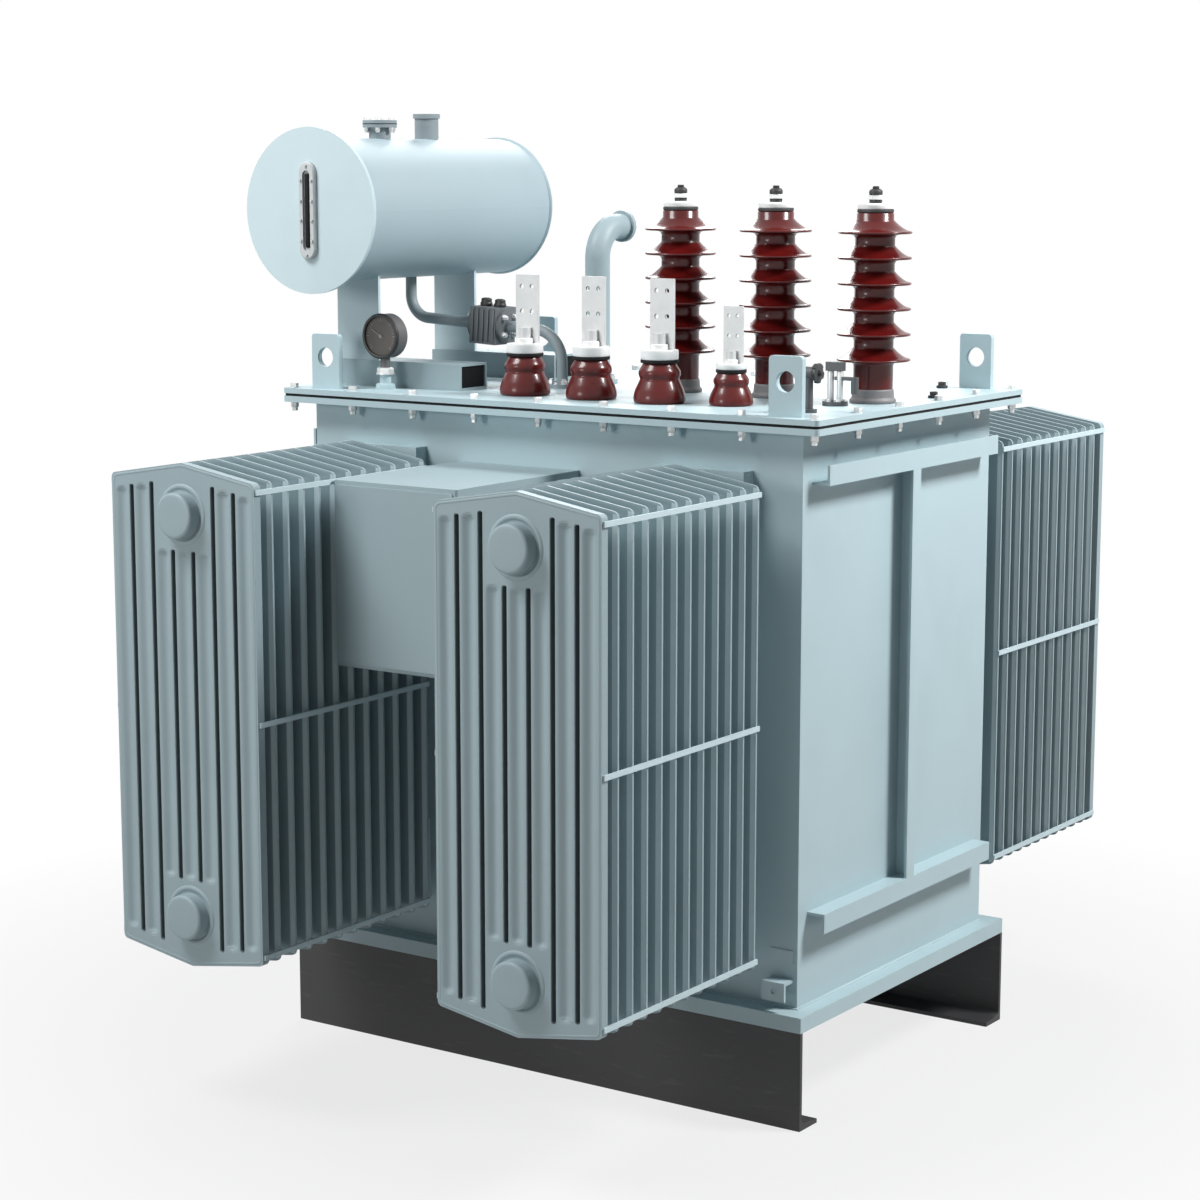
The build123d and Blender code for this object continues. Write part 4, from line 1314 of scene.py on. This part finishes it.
class TRANSFORMER_OT_cover_fittings(bpy.types.Operator):
    """Adds the valve's star wheel, the vent's and tap head's bolts and the plugs on the cover"""

    bl_idname = "transformer.cover_fittings"
    bl_label = "Cover fittings"

    # The two plugs: how far along X from the cover's middle, and where on Y
    plug_places = ((0.714, 0.500), (0.856, 0.178))

    def execute(self, context):
        self.wheel()
        self.vent_bolts()
        self.tap_bolts()
        low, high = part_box("tank_cover")
        middle = (low + high) / 2
        base = disc(radius=0.017, height=0.008, edge=0.002)
        plug = joined(base, placed(fastener(across=0.020, height=0.010), shift(z=0.007)))
        plugs = spread(plug, [shift(middle.x + x, y, high.z) for x, y in self.plug_places])
        settle(dressed(plugs, "dark washer"), "cover_plugs", "cast_metal")
        return {"FINISHED"}

    def wheel(self):
        """A star wheel on the valve: a disc whose rim is drawn in between five lobes."""
        low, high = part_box("filling_valve")
        lobes, drawn_in = 5, 0.80

        def between_lobes(middle, normal):
            return math.cos(lobes * math.atan2(middle.y, middle.x)) < -0.3

        star = begin(bpy.ops.mesh.primitive_cylinder_add, vertices=30, radius=0.028, depth=0.012)
        with editing(star):
            choose(star, "verts", between_lobes)
            bpy.ops.transform.resize(value=(drawn_in, drawn_in, 1.0), center_override=(0, 0, 0))
            bpy.ops.mesh.select_mode(type="EDGE")
            choose(star, "edges", lambda middle, normal: abs(middle.z) > 0.005)
            bpy.ops.mesh.bevel(offset=0.002, segments=2, affect="EDGES")
        hub = placed(fastener(across=0.014, height=0.006, end=0.003), shift(z=0.005))
        sunk, below_top = 0.0045, 0.024
        place = shift(high.x - sunk, (low.y + high.y) / 2, high.z - below_top) @ TO_RIGHT
        settle(dressed(placed(joined(star, hub), place), "dark washer"), "valve_star_wheel", "cast_metal")

    def vent_bolts(self):
        """Bolts round the vent's foot and its mouth."""
        low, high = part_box("pressure_vent")
        x = (low.x + high.x) / 2
        foot_radius, foot_height, mouth_radius = 0.062, 0.014, 0.048
        foot = shift(x, low.y + foot_radius, low.z + foot_height)
        mouth = shift(x, high.y, high.z - mouth_radius) @ TO_REAR
        foot_bolt = fastener(across=0.016, height=0.009, end=0.005)
        feet = ring_of(foot_bolt, foot, count=6, radius=0.050, start=15)
        ring = ring_of(fastener(across=0.010, height=0.006), mouth, count=8, radius=0.040)
        settle(dressed(joined(feet, ring), "zinc plate"), "vent_bolts", "terminal_metal")

    def tap_bolts(self):
        """Bolts round the tap changer's foot, and pale sleeves on its two posts."""
        low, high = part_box("tap_changer_head")
        foot_radius, foot_height, post = 0.036, 0.012, 0.015
        foot = shift(low.x + foot_radius, (low.y + high.y) / 2, low.z + foot_height)
        bolts = ring_of(fastener(across=0.011, height=0.006), foot, count=6, radius=0.028, start=20)
        sleeve = placed(disc(radius=0.0092, height=0.083, edge=0.001, steps=24), shift(z=0.001))
        sleeves = spread(sleeve, [foot @ shift(x) for x in (-post, post)])
        settle(dressed(joined(bolts, sleeves), "zinc plate"), "tap_head_fittings", "cast_metal")


class TRANSFORMER_OT_weld_beads(bpy.types.Operator):
    """Runs weld beads round the foot and the rim of the tank"""

    bl_idname = "transformer.weld_beads"
    bl_label = "Weld beads"

    def execute(self, context):
        front_low, front_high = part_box("tank_front_wall")
        rear_low, rear_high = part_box("tank_rear_wall")
        left_low, left_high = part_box("tank_left_wall")
        right_low, right_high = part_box("tank_right_wall")
        rim_low, rim_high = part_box("tank_rim")
        x, y = (left_low.x + right_high.x) / 2, (front_low.y + rear_high.y) / 2
        size = Matrix.Diagonal((right_high.x - left_low.x, rear_high.y - front_low.y, 1, 1))
        runs = []
        for z in (front_low.z, rim_low.z):
            loop = begin(bpy.ops.mesh.primitive_plane_add, size=1.0)
            runs.append(tubed(placed(loop, shift(x, y, z) @ size), radius=0.006))
        settle(dressed(joined(*runs), "tank paint"), "tank_weld_beads", "tank_paint", angle=ROUND)
        return {"FINISHED"}


# Place, target and size of each lamp
LAMPS = {
    "right": ((4.3, 1.3, 5.5), (0.6, 0, 1.3), 1.4),
    "back": ((-2.5, 4.0, 4.6), (0, 0, 1.4), 2.5),
    "front": ((-2.4, -3.6, 6.4), (-0.2, -0.9, 1.5), 2.2),
    "fill": ((-1.8, -6.4, 2.8), (0, -0.6, 1.9), 1.6),
}
WHITE = (1.0, 1.0, 1.0, 1.0)


def area_lamp(name, place, target, size, power):
    """A square soft lamp at a place, turned to its target."""
    lamp = begin(bpy.ops.object.light_add, type="AREA", location=place)
    lamp.name = name
    lamp.data.size = size
    lamp.data.energy = power
    aim = Vector(target) - Vector(place)
    lamp.rotation_euler = aim.to_track_quat("-Z", "Y").to_euler()


def seen_directly(wire):
    """1 for a ray from the camera, a mirror or glass, and 0 for the light that falls on the object."""
    kinds = ("Is Camera Ray", "Is Glossy Ray", "Is Transmission Ray")
    camera, glossy, through = (wire.node("ShaderNodeLightPath", output=kind) for kind in kinds)
    return wire.maths("MAXIMUM", camera, wire.maths("MAXIMUM", glossy, through))


class TRANSFORMER_OT_stage(bpy.types.Operator):
    """Sets the floor, the lamps, the sky and the camera"""

    bl_idname = "transformer.stage"
    bl_label = "Set the stage"

    def execute(self, context):
        settings = context.scene.transformer_stage
        self.floor()
        self.sky(settings)
        for side, (place, target, size) in LAMPS.items():
            area_lamp(f"{side}_lamp", place, target, size, getattr(settings, f"{side}_power"))
        self.camera(settings)
        context.scene.view_settings.view_transform = "Standard"
        return {"FINISHED"}

    def floor(self):
        """A wide pale floor that is white to the eye and still takes the shadow."""
        floor = begin(bpy.ops.mesh.primitive_plane_add, size=60.0)
        floor.name = "floor"
        finish = Finish("floor", Roughness=0.9, Base_Color=(0.45, 0.45, 0.45, 1.0))
        start = finish.start
        white = start.node("ShaderNodeEmission", inputs={"Color": WHITE, "Strength": 1.0})
        matte = Wire(finish.tree, finish.shader.outputs["BSDF"])
        far = start.node("ShaderNodeVectorMath", {"operation": "LENGTH"}, {0: finish.place}, output="Value")
        clear = finish.ramp(far * 0.1, (0.14, 0.78), (0.30, 1.0))
        shares = {0: seen_directly(start) * clear, 1: matte, 2: white}
        mixed = start.node("ShaderNodeMixShader", inputs=shares)
        output = finish.tree.nodes["Material Output"]
        finish.tree.links.new(mixed.socket, output.inputs["Surface"])
        floor.data.materials.append(finish.material)

    def sky(self, settings):
        """White to the eye, and a weak even light on the object."""
        world = bpy.data.worlds.new("sky")
        world.use_nodes = True
        tree = world.node_tree
        strength = seen_directly(Wire(tree)) * (1.0 - settings.sky) + settings.sky
        back = tree.nodes["Background"]
        back.inputs["Color"].default_value = WHITE
        tree.links.new(strength.socket, back.inputs["Strength"])
        bpy.context.scene.world = world

    def camera(self, settings):
        facing = (math.pi / 2 - settings.elevation, 0.0, settings.azimuth)
        camera = begin(bpy.ops.object.camera_add, location=settings.camera_place, rotation=facing)
        camera.data.lens = settings.lens
        camera.data.sensor_width = 36.0
        camera.data.clip_end = 200.0
        bpy.context.scene.camera = camera


OPERATORS = (
    TRANSFORMER_OT_paint,
    TRANSFORMER_OT_radiators,
    TRANSFORMER_OT_high_bushings,
    TRANSFORMER_OT_low_bushings,
    TRANSFORMER_OT_cover_bolts,
    TRANSFORMER_OT_drum_fittings,
    TRANSFORMER_OT_relay,
    TRANSFORMER_OT_dial,
    TRANSFORMER_OT_cover_fittings,
    TRANSFORMER_OT_weld_beads,
    TRANSFORMER_OT_stage,
)

GROUPS = {
    "transformer_colours": TransformerColours,
    "transformer_radiators": TransformerRadiators,
    "transformer_bushings": TransformerBushings,
    "transformer_bolts": TransformerBolts,
    "transformer_stage": TransformerStage,
}


class TRANSFORMER_PT_finish(bpy.types.Panel):
    """The finishing steps in their order, and their settings"""

    bl_idname = "TRANSFORMER_PT_finish"
    bl_label = "Transformer"
    bl_space_type = "VIEW_3D"
    bl_region_type = "UI"
    bl_category = "Transformer"

    def draw(self, context):
        for step in OPERATORS:
            self.layout.operator(step.bl_idname)
        for name, group in GROUPS.items():
            column = self.layout.column(align=True)
            for setting in group.__annotations__:
                column.prop(getattr(context.scene, name), setting)


def register():
    for name, group in GROUPS.items():
        bpy.utils.register_class(group)
        setattr(bpy.types.Scene, name, PointerProperty(type=group))
    for step in OPERATORS:
        bpy.utils.register_class(step)
    bpy.utils.register_class(TRANSFORMER_PT_finish)


def unregister():
    bpy.utils.unregister_class(TRANSFORMER_PT_finish)
    for step in reversed(OPERATORS):
        bpy.utils.unregister_class(step)
    for name, group in reversed(GROUPS.items()):
        delattr(bpy.types.Scene, name)
        bpy.utils.unregister_class(group)


def main():
    register()
    bpy.ops.transformer.paint()
    bpy.ops.transformer.radiators()
    bpy.ops.transformer.high_bushings()
    bpy.ops.transformer.low_bushings()
    bpy.ops.transformer.cover_bolts()
    bpy.ops.transformer.drum_fittings()
    bpy.ops.transformer.relay()
    bpy.ops.transformer.dial()
    bpy.ops.transformer.cover_fittings()
    bpy.ops.transformer.weld_beads()
    bpy.ops.transformer.stage()


if __name__ == "__main__":
    main()
